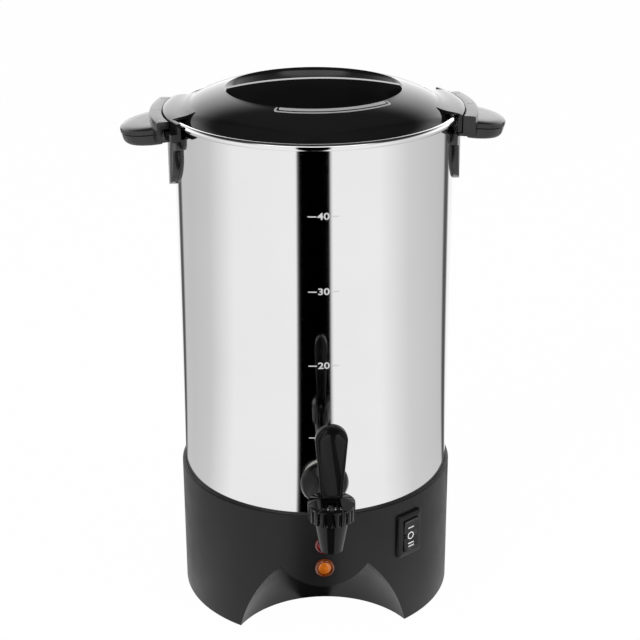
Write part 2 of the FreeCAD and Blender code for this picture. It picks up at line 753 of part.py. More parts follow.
def grip():
    """The half-round hand hold, sloping down to its tip and hollow underneath."""
    roof = Part.Face(grip_oval(0, GRIP_LIP)).extrude(V(0, 0, GRIP_ROOT_TOP - GRIP_LIP))
    fall = GRIP_ROOT_TOP - GRIP_TIP_TOP
    far = GRIP_TIP + GRIP_REACH
    corners = [
        V(PLATE_OUTER_R, -2 * GRIP_HALF_W, GRIP_ROOT_TOP),
        V(far, -2 * GRIP_HALF_W, GRIP_ROOT_TOP - 2 * fall),
        V(far, -2 * GRIP_HALF_W, GRIP_ROOT_TOP + fall),
        V(PLATE_OUTER_R, -2 * GRIP_HALF_W, GRIP_ROOT_TOP + fall),
    ]
    above = Part.Face(Part.makePolygon(corners + corners[:1])).extrude(V(0, 4 * GRIP_HALF_W, 0))
    roof = roof.cut(above)
    low_inset = GRIP_INSET + GRIP_DRAFT
    side = Part.makeLoft([grip_oval(low_inset, GRIP_BOTTOM), grip_oval(GRIP_INSET, GRIP_LIP)], True, True)
    hollow = Part.makeLoft([
        grip_oval(low_inset + GRIP_WALL, GRIP_BOTTOM - GRIP_WALL / 2),
        grip_oval(GRIP_INSET + GRIP_WALL, GRIP_TIP_TOP - GRIP_ROOF),
    ], True, True)
    hollow = hollow.cut(cylinder(PLATE_OUTER_R - GRIP_WALL, 0, BEAD_Z))
    return roof.fuse(side).cut(hollow).cut(cylinder(SHIELD_R - SHIELD_SKIN / 2, 0, 2 * BEAD_Z))


def shield_outline(shrink):
    """The knuckle shield seen from the side of the urn, as a lump that passes through the tank's wall."""
    half_w = SHIELD_HALF_W - shrink
    drop = SHIELD_DROP - shrink
    centre = V(0, 0, SHIELD_BEND_Z)
    rim = Part.Ellipse(centre + V(0, half_w, 0), centre + V(0, 0, -drop), centre)
    oval = Part.Face(Part.Wire(rim.toShape()))
    reach = TANK_R / 2
    tongue = oval.extrude(V(2 * reach, 0, 0))
    low = SHIELD_TOP_LOW + shrink
    high = LUG_LIP_BOTTOM - LUG_DROP_GAP
    tongue = tongue.cut(block(-1, 2 * reach + 1, -TANK_R, TANK_R, high, 2 * high))
    half_top = SHIELD_TOP_HALF_W - shrink
    band = block(0, 2 * reach, -half_top, half_top, low, high)
    long_edges = [edge for edge in band.Edges if edge.BoundBox.XLength > reach]
    corners = [edge for edge in long_edges if edge.BoundBox.ZMax < low + 0.1]
    lump = tongue.fuse(band.makeFillet(SHIELD_CORNER, corners))
    lump.translate(V(reach, 0, 0))
    return lump


def shield():
    """The curved plate between the fingers and the hot tank, with a groove along its edge."""
    ring = tube(TANK_R + HANDLE_GAP, SHIELD_R, 0, BEAD_Z)
    outer = SHIELD_R - SHIELD_SKIN
    groove = tube(outer - SHIELD_GROOVE, outer, 0, BEAD_Z).cut(shield_outline(SHIELD_GROOVE_DEPTH))
    high = LUG_LIP_BOTTOM - LUG_DROP_GAP
    groove = groove.cut(cylinder(SHIELD_R, high - SHIELD_GROOVE_DEPTH, BEAD_Z))
    return shield_outline(0).common(ring).cut(groove)


def handle():
    """The handle on the +X side. Its pocket opens towards the lid and towards +Y."""
    plate = wire(
        (PLATE_INNER_R, PLATE_BOTTOM),
        (PLATE_OUTER_R, PLATE_BOTTOM),
        (PLATE_OUTER_R, PLATE_TOP - PLATE_EDGE),
        (PLATE_OUTER_R - PLATE_EDGE, PLATE_TOP),
        (PLATE_INNER_R, PLATE_TOP),
    )
    body = revolved(plate, -PLATE_SPAN, 2 * PLATE_SPAN).fuse(grip())
    bridge = revolved(wire(
        (SHIELD_R - SHIELD_SKIN, PLATE_BOTTOM),
        (PLATE_INNER_R + 1, PLATE_BOTTOM),
        (PLATE_INNER_R + 1, LUG_LIP_BOTTOM - LUG_DROP_GAP),
        (SHIELD_R - SHIELD_SKIN, LUG_LIP_BOTTOM - LUG_DROP_GAP),
    ), -PLATE_SPAN, 2 * PLATE_SPAN)
    body = body.fuse(bridge)
    body = body.cut(cylinder(PLATE_INNER_R, LUG_LIP_BOTTOM - LUG_DROP_GAP, PLATE_TOP + CUT_MARGIN))
    body = body.fuse(shield())
    pocket = revolved(wire(
        (PLATE_INNER_R - 1, POCKET_BOTTOM),
        (POCKET_R, POCKET_BOTTOM),
        (POCKET_R, POCKET_TOP),
        (PLATE_INNER_R - 1, POCKET_TOP),
    ), -POCKET_END, POCKET_END + PLATE_SPAN + 1)
    body = body.cut(pocket)
    screw_end = TANK_R + HANDLE_SCREW_REACH + HANDLE_GAP
    hole_r = HANDLE_SCREW_R + SCREW_CLEARANCE
    body = body.cut(cylinder_x(hole_r, TANK_R - CUT_MARGIN, screw_end, 0, HANDLE_SCREW_Z))
    return one_solid(body)


def handle_screws():
    inner = TANK_R - TANK_WALL
    head = cylinder_x(HANDLE_SCREW_HEAD_R, inner - HANDLE_SCREW_HEAD_H, inner, 0, HANDLE_SCREW_Z)
    head = head.common(cylinder(inner, 0, BEAD_Z))
    shank = cylinder_x(HANDLE_SCREW_R, inner - 1, TANK_R + HANDLE_SCREW_REACH, 0, HANDLE_SCREW_Z)
    screw = one_solid(head.fuse(shank))
    return Part.Compound([screw, turned(screw, 180)])


# Tap

def tap_body():
    shank = cylinder_y(SHANK_R, TAP_Y, ESCUTCHEON_Y, TAP_SHANK_Z)
    shank = shank.fuse(cylinder_y(SHANK_THREAD_R, ESCUTCHEON_Y, SHANK_INNER_END, TAP_SHANK_Z))
    rose = Part.makeCone(ESCUTCHEON_R - 2, ESCUTCHEON_R, ESCUTCHEON_THICK,
                         V(0, ESCUTCHEON_Y - ESCUTCHEON_THICK, TAP_SHANK_Z), V(0, 1, 0))
    cup = Part.makeCone(CUP_BOTTOM_R, CUP_TOP_R, CUP_TOP_Z - CUP_BOTTOM_Z, V(0, TAP_Y, CUP_BOTTOM_Z))
    body = shank.fuse(rose).fuse(cup)
    body = body.cut(cylinder_y(SHANK_BORE_R, TAP_Y, SHANK_INNER_END + CUT_MARGIN, TAP_SHANK_Z))
    body = body.cut(cylinder(VALVE_BORE_R, SEAT_Z, CUP_TOP_Z + CUT_MARGIN, 0, TAP_Y))
    body = body.cut(cylinder(OUTLET_R, CUP_BOTTOM_Z - CUT_MARGIN, SEAT_Z + 1, 0, TAP_Y))
    return one_solid(body)


def tap_gasket_outer():
    ring = cylinder_y(GASKET_R, ESCUTCHEON_Y, -TANK_R + CUT_MARGIN, TAP_SHANK_Z)
    ring = ring.cut(cylinder_y(SHANK_THREAD_R + CONTACT_GAP, ESCUTCHEON_Y - 1, 0, TAP_SHANK_Z))
    return one_solid(ring.cut(cylinder(TANK_R + CONTACT_GAP, 0, BEAD_Z)))


def tap_gasket_inner():
    ring = cylinder_y(GASKET_R, -TANK_R, INNER_GASKET_Y, TAP_SHANK_Z)
    ring = ring.cut(cylinder_y(SHANK_THREAD_R + CONTACT_GAP, -TANK_R - 1, 0, TAP_SHANK_Z))
    return one_solid(ring.common(cylinder(TANK_R - TANK_WALL - CONTACT_GAP, 0, BEAD_Z)))


def tap_nut():
    nut = hex_prism(TAP_NUT_R, 0, TAP_NUT_H, 0, 0)
    nut = nut.cut(cylinder(SHANK_THREAD_R + SCREW_CLEARANCE, -1, TAP_NUT_H + 1))
    nut.rotate(V(0, 0, 0), V(1, 0, 0), -90)
    nut.translate(V(0, INNER_GASKET_Y, TAP_SHANK_Z))
    return nut


def tap_bonnet():
    skirt_low = BONNET_TOP - BONNET_SKIRT
    cap = cylinder(BONNET_R, skirt_low, BONNET_TOP)
    for index in range(FLUTE_COUNT):
        turn = 2 * math.pi * index / FLUTE_COUNT
        x = (BONNET_R + FLUTE_R / 2) * math.cos(turn)
        y = (BONNET_R + FLUTE_R / 2) * math.sin(turn)
        cap = cap.cut(cylinder(FLUTE_R, skirt_low - 1, BONNET_TOP - FLUTE_R, x, y))
    cap = cap.cut(cylinder(BONNET_BORE_R, skirt_low - 1, BONNET_TOP - BONNET_ROOF))
    spigot = tube(VALVE_BORE_R - 1.5, VALVE_BORE_R - CONTACT_GAP, skirt_low - 2, BONNET_TOP - BONNET_ROOF)
    cap = cap.fuse(spigot)
    cheeks = block(-BONNET_BORE_R, BONNET_BORE_R, -3, 3, skirt_low + 1, BONNET_TOP - BONNET_ROOF + 1)
    cheeks = cheeks.common(cylinder(BONNET_BORE_R + 0.5, 0, BONNET_TOP))
    cap = cap.fuse(cheeks)
    slot = block(-LEVER_SLOT_HALF_W, LEVER_SLOT_HALF_W, -BONNET_R - 1, LEVER_SLOT_BACK,
                 skirt_low + 0.6, BONNET_TOP + 1)
    slot = slot.common(cylinder(BONNET_BORE_R, 0, 2 * BONNET_TOP))
    cap = cap.cut(slot)
    cap = cap.cut(cylinder(STEM_R + SLIP_GAP, 0, BONNET_TOP + 1))
    cap.translate(V(0, TAP_Y, 0))
    reach = BONNET_BORE_R - 1
    cap = cap.cut(cylinder_x(PIVOT_R + PIVOT_CLEARANCE / 2, -reach, reach, TAP_Y, PIVOT_Z))
    return one_solid(cap)


def tap_lever_pin():
    reach = BONNET_BORE_R - 1.2
    return cylinder_x(PIVOT_R, -reach, reach, TAP_Y, PIVOT_Z)


def tab_top():
    return PIVOT_Z + PIVOT_R + 1


def tap_lever():
    """The paddle and its fork. It leans forwards about the pivot pin."""
    top_r = LEVER_TOP_W / 2
    half_foot = LEVER_FOOT_W / 2
    centre_z = LEVER_TIP_Z - top_r
    front = TAP_Y - LEVER_THICK / 2

    def paddle(shrink, depth, start):
        radius = top_r - shrink
        foot_left = V(shrink - half_foot, start, LEVER_FOOT_Z + shrink)
        foot_right = V(half_foot - shrink, start, LEVER_FOOT_Z + shrink)
        left = V(-radius, start, centre_z)
        right = V(radius, start, centre_z)
        outline = Part.Wire([
            Part.LineSegment(foot_left, left).toShape(),
            Part.Arc(left, V(0, start, centre_z + radius), right).toShape(),
            Part.LineSegment(right, foot_right).toShape(),
            Part.LineSegment(foot_right, foot_left).toShape(),
        ])
        return Part.Face(outline).extrude(V(0, depth, 0))

    body = paddle(0, LEVER_THICK, front)
    body = body.makeFillet(0.9, [edge for edge in body.Edges if edge.BoundBox.YLength < 0.01])
    body = body.cut(paddle(LEVER_RIM, LEVER_DISH + 1, front - 1))
    neck = block(-FORK_OUTER, FORK_OUTER, front + 0.4, -front + 2 * TAP_Y - 0.4, PIVOT_Z, LEVER_FOOT_Z + 2)
    heel = cylinder_x(HEEL_R, -FORK_OUTER, FORK_OUTER, TAP_Y, PIVOT_Z)
    body = body.fuse(neck).fuse(heel)
    gap_top = tab_top() + STEM_LIFT + HEEL_GAP
    side = 2 * HEEL_R
    body = body.cut(block(-FORK_INNER, FORK_INNER, TAP_Y - side, TAP_Y + side, PIVOT_Z - side, gap_top))
    reach = 2 * FORK_OUTER
    body = body.cut(cylinder_x(PIVOT_R + PIVOT_CLEARANCE, -reach, reach, TAP_Y, PIVOT_Z))
    return one_solid(body)


def tap_plunger():
    """The soft cup that closes the outlet, with its stem and the slotted tab that the pin passes through."""
    cup = cylinder(PLUNGER_R, SEAT_Z, SEAT_Z + PLUNGER_H, 0, TAP_Y)
    stem_top = PIVOT_Z - PIVOT_R - STEM_LIFT - 0.5
    stem = cylinder(STEM_R, SEAT_Z, stem_top, 0, TAP_Y)
    tab = block(-STEM_TAB_HALF_W, STEM_TAB_HALF_W, TAP_Y - STEM_TAB_HALF_D, TAP_Y + STEM_TAB_HALF_D,
                stem_top - 2, tab_top())
    tab = tab.common(cylinder(STEM_R, 0, tab_top(), 0, TAP_Y))
    slot_half = PIVOT_R + PIVOT_CLEARANCE
    slot_low = PIVOT_Z - STEM_LIFT - slot_half
    slot = block(-STEM_R, STEM_R, TAP_Y - slot_half, TAP_Y + slot_half, slot_low, PIVOT_Z + slot_half)
    return one_solid(cup.fuse(stem).fuse(tab).cut(slot))


def tap_spring():
    low = SEAT_Z + PLUNGER_H
    high = BONNET_TOP - BONNET_SKIRT - 2
    sleeve = tube(SPRING_R - SPRING_WIRE, SPRING_R, low, high - SPRING_GAP)
    sleeve.translate(V(0, TAP_Y, 0))
    return sleeve


# Brewing set

def well_floor():
    return TANK_BOTTOM + TANK_WALL - WELL_DEPTH


def pump_foot():
    low = well_floor()
    outer = Part.makeCone(PUMP_FOOT_R, PUMP_TUBE_R + 2, PUMP_FOOT_H, V(0, 0, low))
    inner = Part.makeCone(PUMP_FOOT_R - 1.5, PUMP_TUBE_R + 0.5, PUMP_FOOT_H - 1.2, V(0, 0, low - 0.001))
    foot = outer.cut(inner)
    for angle in (0, 90):
        notch = block(-PUMP_FOOT_R, PUMP_FOOT_R, -2, 2, low - 1, low + 1.5)
        foot = foot.cut(turned(notch, angle))
    foot = foot.cut(cylinder(PUMP_TUBE_R - PUMP_TUBE_WALL, low, low + 2 * PUMP_FOOT_H))
    return one_solid(foot)


def pump_tube():
    low = well_floor() + PUMP_FOOT_H
    body = tube(PUMP_TUBE_R - PUMP_TUBE_WALL, PUMP_TUBE_R, low, PUMP_TUBE_TOP)
    collar = tube(PUMP_TUBE_R - PUMP_TUBE_WALL / 2, COLLAR_R, BASKET_Z - COLLAR_THICK, BASKET_Z)
    return one_solid(body.fuse(collar))


def hole_ring(radius, count, hole_r, low, high):
    made = []
    for index in range(count):
        turn = 2 * math.pi * index / count
        made.append(cylinder(hole_r, low, high, radius * math.cos(turn), radius * math.sin(turn)))
    return made


def coffee_basket():
    high = BASKET_Z + BASKET_H
    inside = cylinder(BASKET_R - BASKET_WALL, BASKET_Z + BASKET_WALL, high + 1)
    body = cylinder(BASKET_R, BASKET_Z, high).cut(inside)
    body = body.fuse(tube(BASKET_R - BASKET_WALL, BASKET_R + BASKET_RIM, high - 1.2, high))
    body = body.fuse(cylinder(BASKET_SLEEVE_R, BASKET_Z, high - 8))
    body = body.cut(cylinder(PUMP_TUBE_R + SLIP_GAP, BASKET_Z - 1, high + 1))
    for radius, count in zip(BASKET_RING_R, BASKET_RING_COUNT):
        for hole in hole_ring(radius, count, BASKET_HOLE_R, BASKET_Z - 1, BASKET_Z + BASKET_WALL + 1):
            body = body.cut(hole)
    return one_solid(body)


def basket_cover():
    """The dished spreader over the grounds, with a flange that rests on the basket's rim."""
    rim = BASKET_Z + BASKET_H
    inner = COVER_CAP_R - COVER_CAP_WALL
    floor = rim - COVER_CAP_DISH
    disc = tube(PUMP_TUBE_R + SLIP_GAP, COVER_CAP_R, floor, floor + COVER_CAP_WALL)
    side = tube(inner, COVER_CAP_R, rim - COVER_CAP_DISH, rim + COVER_CAP_WALL)
    flange = tube(inner, BASKET_R + BASKET_RIM, rim, rim + COVER_CAP_WALL)
    sleeve = tube(PUMP_TUBE_R + SLIP_GAP, BASKET_SLEEVE_R, rim - COVER_CAP_DISH, rim + COVER_CAP_DISH)
    cover = disc.fuse(side).fuse(flange).fuse(sleeve)
    for hole in hole_ring(COVER_HOLE_RING_R, COVER_HOLE_COUNT, BASKET_HOLE_R, rim - 2 * COVER_CAP_DISH, rim):
        cover = cover.cut(hole)
    return one_solid(cover)


def all_parts():
    right = handle()
    return {
        "base_housing": base_housing(),
        "base_cover": base_cover(),
        "cover_screws": cover_screws(),
        "rubber_feet": rubber_feet(),
        "tie_rods": tie_rods(),
        "tie_nuts": tie_nuts(),
        "amber_lamp": lamp(AMBER_Z),
        "red_lamp": lamp(RED_Z),
        "switch_body": switch_body(),
        "switch_rocker": switch_rocker(),
        "mains_inlet": mains_inlet(),
        "inlet_pins": inlet_pins(),
        "tank": tank(),
        "heater_plate": heater_plate(),
        "heating_element": element(ELEMENT_RING_R, ELEMENT_R),
        "keep_warm_element": element(WARM_RING_R, WARM_R),
        "thermostat": thermostat(),
        "thermal_fuse": thermal_fuse(),
        "handle_right": right,
        "handle_left": turned(right, 180),
        "handle_screws": handle_screws(),
        "lid_shell": lid_shell(),
        "lid_seal": lid_seal(),
        "tap_body": tap_body(),
        "tap_gasket_outer": tap_gasket_outer(),
        "tap_gasket_inner": tap_gasket_inner(),
        "tap_nut": tap_nut(),
        "tap_bonnet": tap_bonnet(),
        "tap_lever_pin": tap_lever_pin(),
        "tap_lever": tap_lever(),
        "tap_plunger": tap_plunger(),
        "tap_spring": tap_spring(),
        "pump_foot": pump_foot(),
        "pump_tube": pump_tube(),
        "coffee_basket": coffee_basket(),
        "basket_cover": basket_cover(),
    }


# The origin lies under the middle of the whole outline, so the urn's axis stands behind it
FRONT_REACH = -TAP_Y + BONNET_R
BACK_REACH = BASE_R + INLET_STAND
AXIS_Y = (FRONT_REACH - BACK_REACH) / 2

os.makedirs("parts", exist_ok=True)
for name, shape in all_parts().items():
    placed = shape.copy()
    placed.translate(V(0, AXIS_Y, 0))
    placed.exportStep("parts/" + name + ".step")
    print(name, len(placed.Solids), placed.isValid(), round(placed.Volume), placed.BoundBox)
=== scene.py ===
import json
import math

import bpy
from mathutils import Matrix, Vector


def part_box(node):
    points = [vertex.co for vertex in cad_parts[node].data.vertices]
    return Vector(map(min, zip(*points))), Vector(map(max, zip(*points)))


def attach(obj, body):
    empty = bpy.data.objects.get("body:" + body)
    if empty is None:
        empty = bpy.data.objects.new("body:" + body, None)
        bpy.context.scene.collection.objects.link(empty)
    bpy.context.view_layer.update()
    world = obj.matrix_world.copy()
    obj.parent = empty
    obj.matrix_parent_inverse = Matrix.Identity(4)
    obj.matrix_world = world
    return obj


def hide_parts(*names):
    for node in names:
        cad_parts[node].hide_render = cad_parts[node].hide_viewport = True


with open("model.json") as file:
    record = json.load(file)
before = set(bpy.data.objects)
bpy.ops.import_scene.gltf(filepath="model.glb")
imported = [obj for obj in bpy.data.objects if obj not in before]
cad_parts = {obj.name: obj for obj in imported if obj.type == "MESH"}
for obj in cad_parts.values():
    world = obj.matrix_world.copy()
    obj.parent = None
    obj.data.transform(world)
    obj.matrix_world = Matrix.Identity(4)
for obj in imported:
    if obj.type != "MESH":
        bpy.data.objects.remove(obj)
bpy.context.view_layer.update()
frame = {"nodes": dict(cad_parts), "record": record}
nodes = frame["nodes"]

MM = 0.001

# The urn's own axis stands behind the frame's origin, in the middle of its round base
base_low, base_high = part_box("base_housing")
AXIS = Vector((0, (base_low.y + base_high.y) / 2, 0))

# Tank
TANK_R = 96 * MM
TANK_WALL = 0.8 * MM
TANK_BOTTOM = 84 * MM
TANK_CORNER = 6 * MM
WELL_R = 24 * MM
WELL_DEPTH = 8 * MM
WELL_EDGE = 1 * MM
BEAD_R = 97.3 * MM
BEAD_TUBE = 2.4 * MM
BEAD_Z = 359.7 * MM
BEAD_INSIDE_DROP = 1.6 * MM
LEDGE_R = 92.2 * MM
LEDGE_TOP = 355.6 * MM
LEDGE_UNDER = 353.6 * MM

# Base
BASE_R = 98.6 * MM
BASE_TOP = 99.2 * MM
BASE_WALL = 2.5 * MM
SEAT_R = 84 * MM
SEAT_UNDER = 80 * MM
TANK_GAP = 0.15 * MM
NICHE_Y = -111.4 * MM
LOBE_R = 39 * MM
LOBE_Z = 82 * MM
LOBE_FRONT = -185 * MM
CUT_LOW = -5 * MM
CUT_HIGH = 110 * MM

# Lamps, switch and inlet
AMBER_Z = 58.3 * MM
RED_Z = 76.5 * MM
LAMP_HOLE_R = 5.05 * MM
SWITCH_BEARING = 38
SWITCH_Z = 71.7 * MM
ROCKER_FACE_R = 101.3 * MM
INLET_Z = 34 * MM

# Lid
DOME_R = 94 * MM
DOME_RISE = 26 * MM
DOME_FOOT = 355.7 * MM
LID_WALL = 2.6 * MM
LID_EDGE_R = 94.5 * MM
LID_EDGE_INNER_R = 94.1 * MM
LID_LOW = 357.2 * MM
LID_EDGE_TOP = 359.6 * MM
LID_EDGE_ROUND = 0.4 * MM
SCOOP_RIM_R = 60.9 * MM
SCOOP_RIM_UNDER_R = 61 * MM
GRIP_TOP_HALF = 2.2 * MM
GRIP_FOOT_HALF = 6.0 * MM
GRIP_REACH = 64 * MM
SLOT_TOP_HALF = 0.2 * MM
SLOT_REACH = 88 * MM
LABEL_RIM_R = 61.2 * MM

# Handles
HANDLE_START = 71
HANDLE_SWEEP = 38
POCKET_START = 75
POCKET_SWEEP = 36
HAND_HOLD_X = 104 * MM
HAND_HOLD_Z = 349.8 * MM
HAND_HOLD_TIP = 9
TICK_R = 107.4 * MM
PLATE_TOP = 362 * MM

# Printing
PRINT_PROUD = 0.08 * MM
PRINT_SUNK = 0.1 * MM

# Camera
CAMERA_PLACE = Vector((-63.6, -1041.1, 622.3)) * MM + AXIS
CAMERA_TILT = 68.18
CAMERA_TURN = -3.7
CAMERA_ROLL = -0.2
CAMERA_LENS = 87.70
CAMERA_SENSOR = 36.0
VIEW_AZIMUTH = math.degrees(math.atan2(-63.6, 1041.1))

SMOOTH_ANGLE = math.radians(35)
MERGE_DISTANCE = 0.002 * MM


# Small helpers

def in_metres(pairs):
    """A profile of radius and height pairs, from millimetres."""
    return [(radius * MM, height * MM) for radius, height in pairs]


def deselect():
    if bpy.context.mode != "OBJECT":
        bpy.ops.object.mode_set(mode="OBJECT")
    bpy.ops.object.select_all(action="DESELECT")


def make_active(piece):
    deselect()
    piece.select_set(True)
    bpy.context.view_layer.objects.active = piece


def apply_place(piece):
    make_active(piece)
    bpy.ops.object.transform_apply(location=True, rotation=True, scale=True)


def apply_modifiers(piece):
    make_active(piece)
    for modifier in list(piece.modifiers):
        bpy.ops.object.modifier_apply(modifier=modifier.name)


def shade(piece, angle=SMOOTH_ANGLE):
    make_active(piece)
    bpy.ops.object.shade_smooth_by_angle(angle=angle)


def paint(piece, material):
    piece.data.materials.clear()
    piece.data.materials.append(material)


def copy_of(piece):
    """A copy with a mesh of its own."""
    copied = piece.copy()
    copied.data = piece.data.copy()
    bpy.context.scene.collection.objects.link(copied)
    return copied


def merge_doubles():
    """Joins the points that lie together, in edit mode."""
    bpy.ops.mesh.select_all(action="SELECT")
    bpy.ops.mesh.remove_doubles(threshold=MERGE_DISTANCE)


def face_outwards():
    """Turns every face outwards and leaves edit mode."""
    bpy.ops.mesh.select_all(action="SELECT")
    bpy.ops.mesh.normals_make_consistent(inside=False)
    bpy.ops.object.mode_set(mode="OBJECT")


def settle(piece, name, body, slot, material, *replaced):
    """Names a finished piece, gives it its finish and lets it ride."""
    piece.name = name
    piece.data.name = name
    paint(piece, material)
    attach(piece, body)
    if replaced:
        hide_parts(*replaced)
    return piece


def arc_points(centre, radius, start, end, count):
    """Points on an arc in the plane of radius and height, with its angles in degrees."""
    made = []
    for index in range(count + 1):
        turn = math.radians(start + (end - start) * index / count)
        made.append((centre[0] + radius * math.cos(turn), centre[1] + radius * math.sin(turn)))
    return made


def chain(points):
    """A chain of points, drawn by extruding one vertex from place to place."""
    deselect()
    bpy.ops.mesh.primitive_plane_add(size=MM, location=points[0])
    piece = bpy.context.active_object
    apply_place(piece)
    bpy.ops.object.mode_set(mode="EDIT")
    bpy.ops.mesh.select_all(action="SELECT")
    bpy.ops.mesh.merge(type="CENTER")
    here = Vector(points[0])
    for point in points[1:]:
        step = Vector(point) - here
        bpy.ops.mesh.extrude_region_move(TRANSFORM_OT_translate={"value": step})
        here = Vector(point)
    bpy.ops.object.mode_set(mode="OBJECT")
    return piece


def lathe(profile, centre, steps):
    """A round solid from a profile of radius and height pairs, turned about an upright axis."""
    piece = chain([(centre.x + radius, centre.y, height) for radius, height in profile])
    bpy.ops.object.mode_set(mode="EDIT")
    bpy.ops.mesh.select_all(action="SELECT")
    bpy.ops.mesh.spin(steps=steps, angle=2 * math.pi, center=centre, axis=(0, 0, 1))
    merge_doubles()
    face_outwards()
    return piece


def arc_through(first, middle, last, count):
    """Points after first on the arc that runs from first through middle to last."""
    (ax, az), (bx, bz), (cx, cz) = first, middle, last
    twice = 2 * (ax * (bz - cz) + bx * (cz - az) + cx * (az - bz))
    a_square, b_square, c_square = ax * ax + az * az, bx * bx + bz * bz, cx * cx + cz * cz
    ux = (a_square * (bz - cz) + b_square * (cz - az) + c_square * (az - bz)) / twice
    uz = (a_square * (cx - bx) + b_square * (ax - cx) + c_square * (bx - ax)) / twice
    start = math.degrees(math.atan2(az - uz, ax - ux))
    end = math.degrees(math.atan2(cz - uz, cx - ux))
    end -= 360 * round((end - start) / 360)
    return arc_points((ux, uz), math.hypot(ax - ux, az - uz), start, end, count)[1:]


def ring_place(radius, bearing, height):
    """A place round the urn, at a bearing in degrees from the tap's side towards +X."""
    turn = math.radians(bearing)
    return AXIS + Vector((radius * math.sin(turn), -radius * math.cos(turn), height))


def sector(profile, start, sweep, steps):
    """A closed profile turned part of the way about the urn's axis, from a start bearing in degrees."""
    piece = chain([ring_place(radius, start, height) for radius, height in profile])
    bpy.ops.object.mode_set(mode="EDIT")
    bpy.ops.mesh.select_all(action="SELECT")
    bpy.ops.mesh.spin(steps=steps, angle=-math.radians(sweep), center=AXIS, axis=(0, 0, 1))
    merge_doubles()
    bpy.ops.mesh.fill_holes(sides=0)
    face_outwards()
    return piece


def rod(radius, start, end, steps=64):
    """A round bar between two places."""
    run = end - start
    turn = run.to_track_quat("Z", "Y").to_euler()
    deselect()
    bpy.ops.mesh.primitive_cylinder_add(vertices=steps, radius=radius, depth=run.length,
                                        location=(start + end) / 2, rotation=turn)
    piece = bpy.context.active_object
    apply_place(piece)
    return piece


def upright_rod(radius, low, high, steps):
    """A round bar on the urn's axis."""
    return rod(radius, AXIS + Vector((0, 0, low)), AXIS + Vector((0, 0, high)), steps)


def block(middle, size, bearing=0):
    """A box at a place, turned to face a bearing."""
    deselect()
    turn = (0, 0, math.radians(bearing))
    bpy.ops.mesh.primitive_cube_add(size=1, location=middle, rotation=turn, scale=size)
    piece = bpy.context.active_object
    apply_place(piece)
    return piece


def combine(piece, operation, *others):
    """Joins, cuts or overlaps a solid with others, which are used up."""
    for other in others:
        step = piece.modifiers.new("combine", "BOOLEAN")
        step.operation = operation
        step.solver = "EXACT"
        step.object = other
        apply_modifiers(piece)
        bpy.data.objects.remove(other)
    return piece


# Materials

CLOUD_SCALE = 18


def new_material(name):
    material = bpy.data.materials.new(name)
    material.use_nodes = True
    tree = material.node_tree
    shader = tree.nodes["Principled BSDF"]
    return material, tree, shader


def place_nodes(tree, stretch=(1, 1, 1)):
    coordinates = tree.nodes.new("ShaderNodeTexCoord")
    mapping = tree.nodes.new("ShaderNodeMapping")
    mapping.inputs["Scale"].default_value = stretch
    tree.links.new(coordinates.outputs["Object"], mapping.inputs["Vector"])
    return mapping.outputs["Vector"]


def noise(tree, where, scale, detail=3.0):
    texture = tree.nodes.new("ShaderNodeTexNoise")
    texture.inputs["Scale"].default_value = scale
    texture.inputs["Detail"].default_value = detail
    tree.links.new(where, texture.inputs["Vector"])
    return texture.outputs["Fac"]


def spread(tree, value, low, high):
    """Maps a noise value onto a range."""
    mapped = tree.nodes.new("ShaderNodeMapRange")
    mapped.inputs["From Min"].default_value = 0.3
    mapped.inputs["From Max"].default_value = 0.7
    mapped.inputs["To Min"].default_value = low
    mapped.inputs["To Max"].default_value = high
    tree.links.new(value, mapped.inputs["Value"])
    return mapped.outputs["Result"]


def blend_colours(tree, value, first, second):
    mix = tree.nodes.new("ShaderNodeMix")
    mix.data_type = "RGBA"
    mix.inputs["A"].default_value = (*first, 1)
    mix.inputs["B"].default_value = (*second, 1)
    tree.links.new(value, mix.inputs["Factor"])
    return mix.outputs["Result"]


def bump(tree, shader, height, distance):
    node = tree.nodes.new("ShaderNodeBump")
    node.inputs["Distance"].default_value = distance
    tree.links.new(height, node.inputs["Height"])
    tree.links.new(node.outputs["Normal"], shader.inputs["Normal"])


def moulded(name, dark, light, rough, grain_scale, grain_depth, specular=0.5):
    """Moulded plastic: a soft colour cloud, uneven gloss and a fine skin."""
    material, tree, shader = new_material(name)
    where = place_nodes(tree)
    cloud = spread(tree, noise(tree, where, CLOUD_SCALE), 0, 1)
    tree.links.new(blend_colours(tree, cloud, dark, light), shader.inputs["Base Color"])
    gloss = spread(tree, noise(tree, where, CLOUD_SCALE * 3), rough[0], rough[1])
    tree.links.new(gloss, shader.inputs["Roughness"])
    bump(tree, shader, noise(tree, where, grain_scale, 2.0), grain_depth)
    shader.inputs["Specular IOR Level"].default_value = specular
    return material


def metal(name, first, second, rough, stretch, scale, depth):
    """Metal with fine lines along one direction, as rolling and polishing leave them."""
    material, tree, shader = new_material(name)
    shader.inputs["Metallic"].default_value = 1.0
    where = place_nodes(tree, stretch)
    plain = place_nodes(tree)
    cloud = spread(tree, noise(tree, plain, 12), 0, 1)
    tree.links.new(blend_colours(tree, cloud, first, second), shader.inputs["Base Color"])
    lines = noise(tree, where, scale, 4.0)
    tree.links.new(spread(tree, lines, rough[0], rough[1]), shader.inputs["Roughness"])
    bump(tree, shader, lines, depth)
    return material


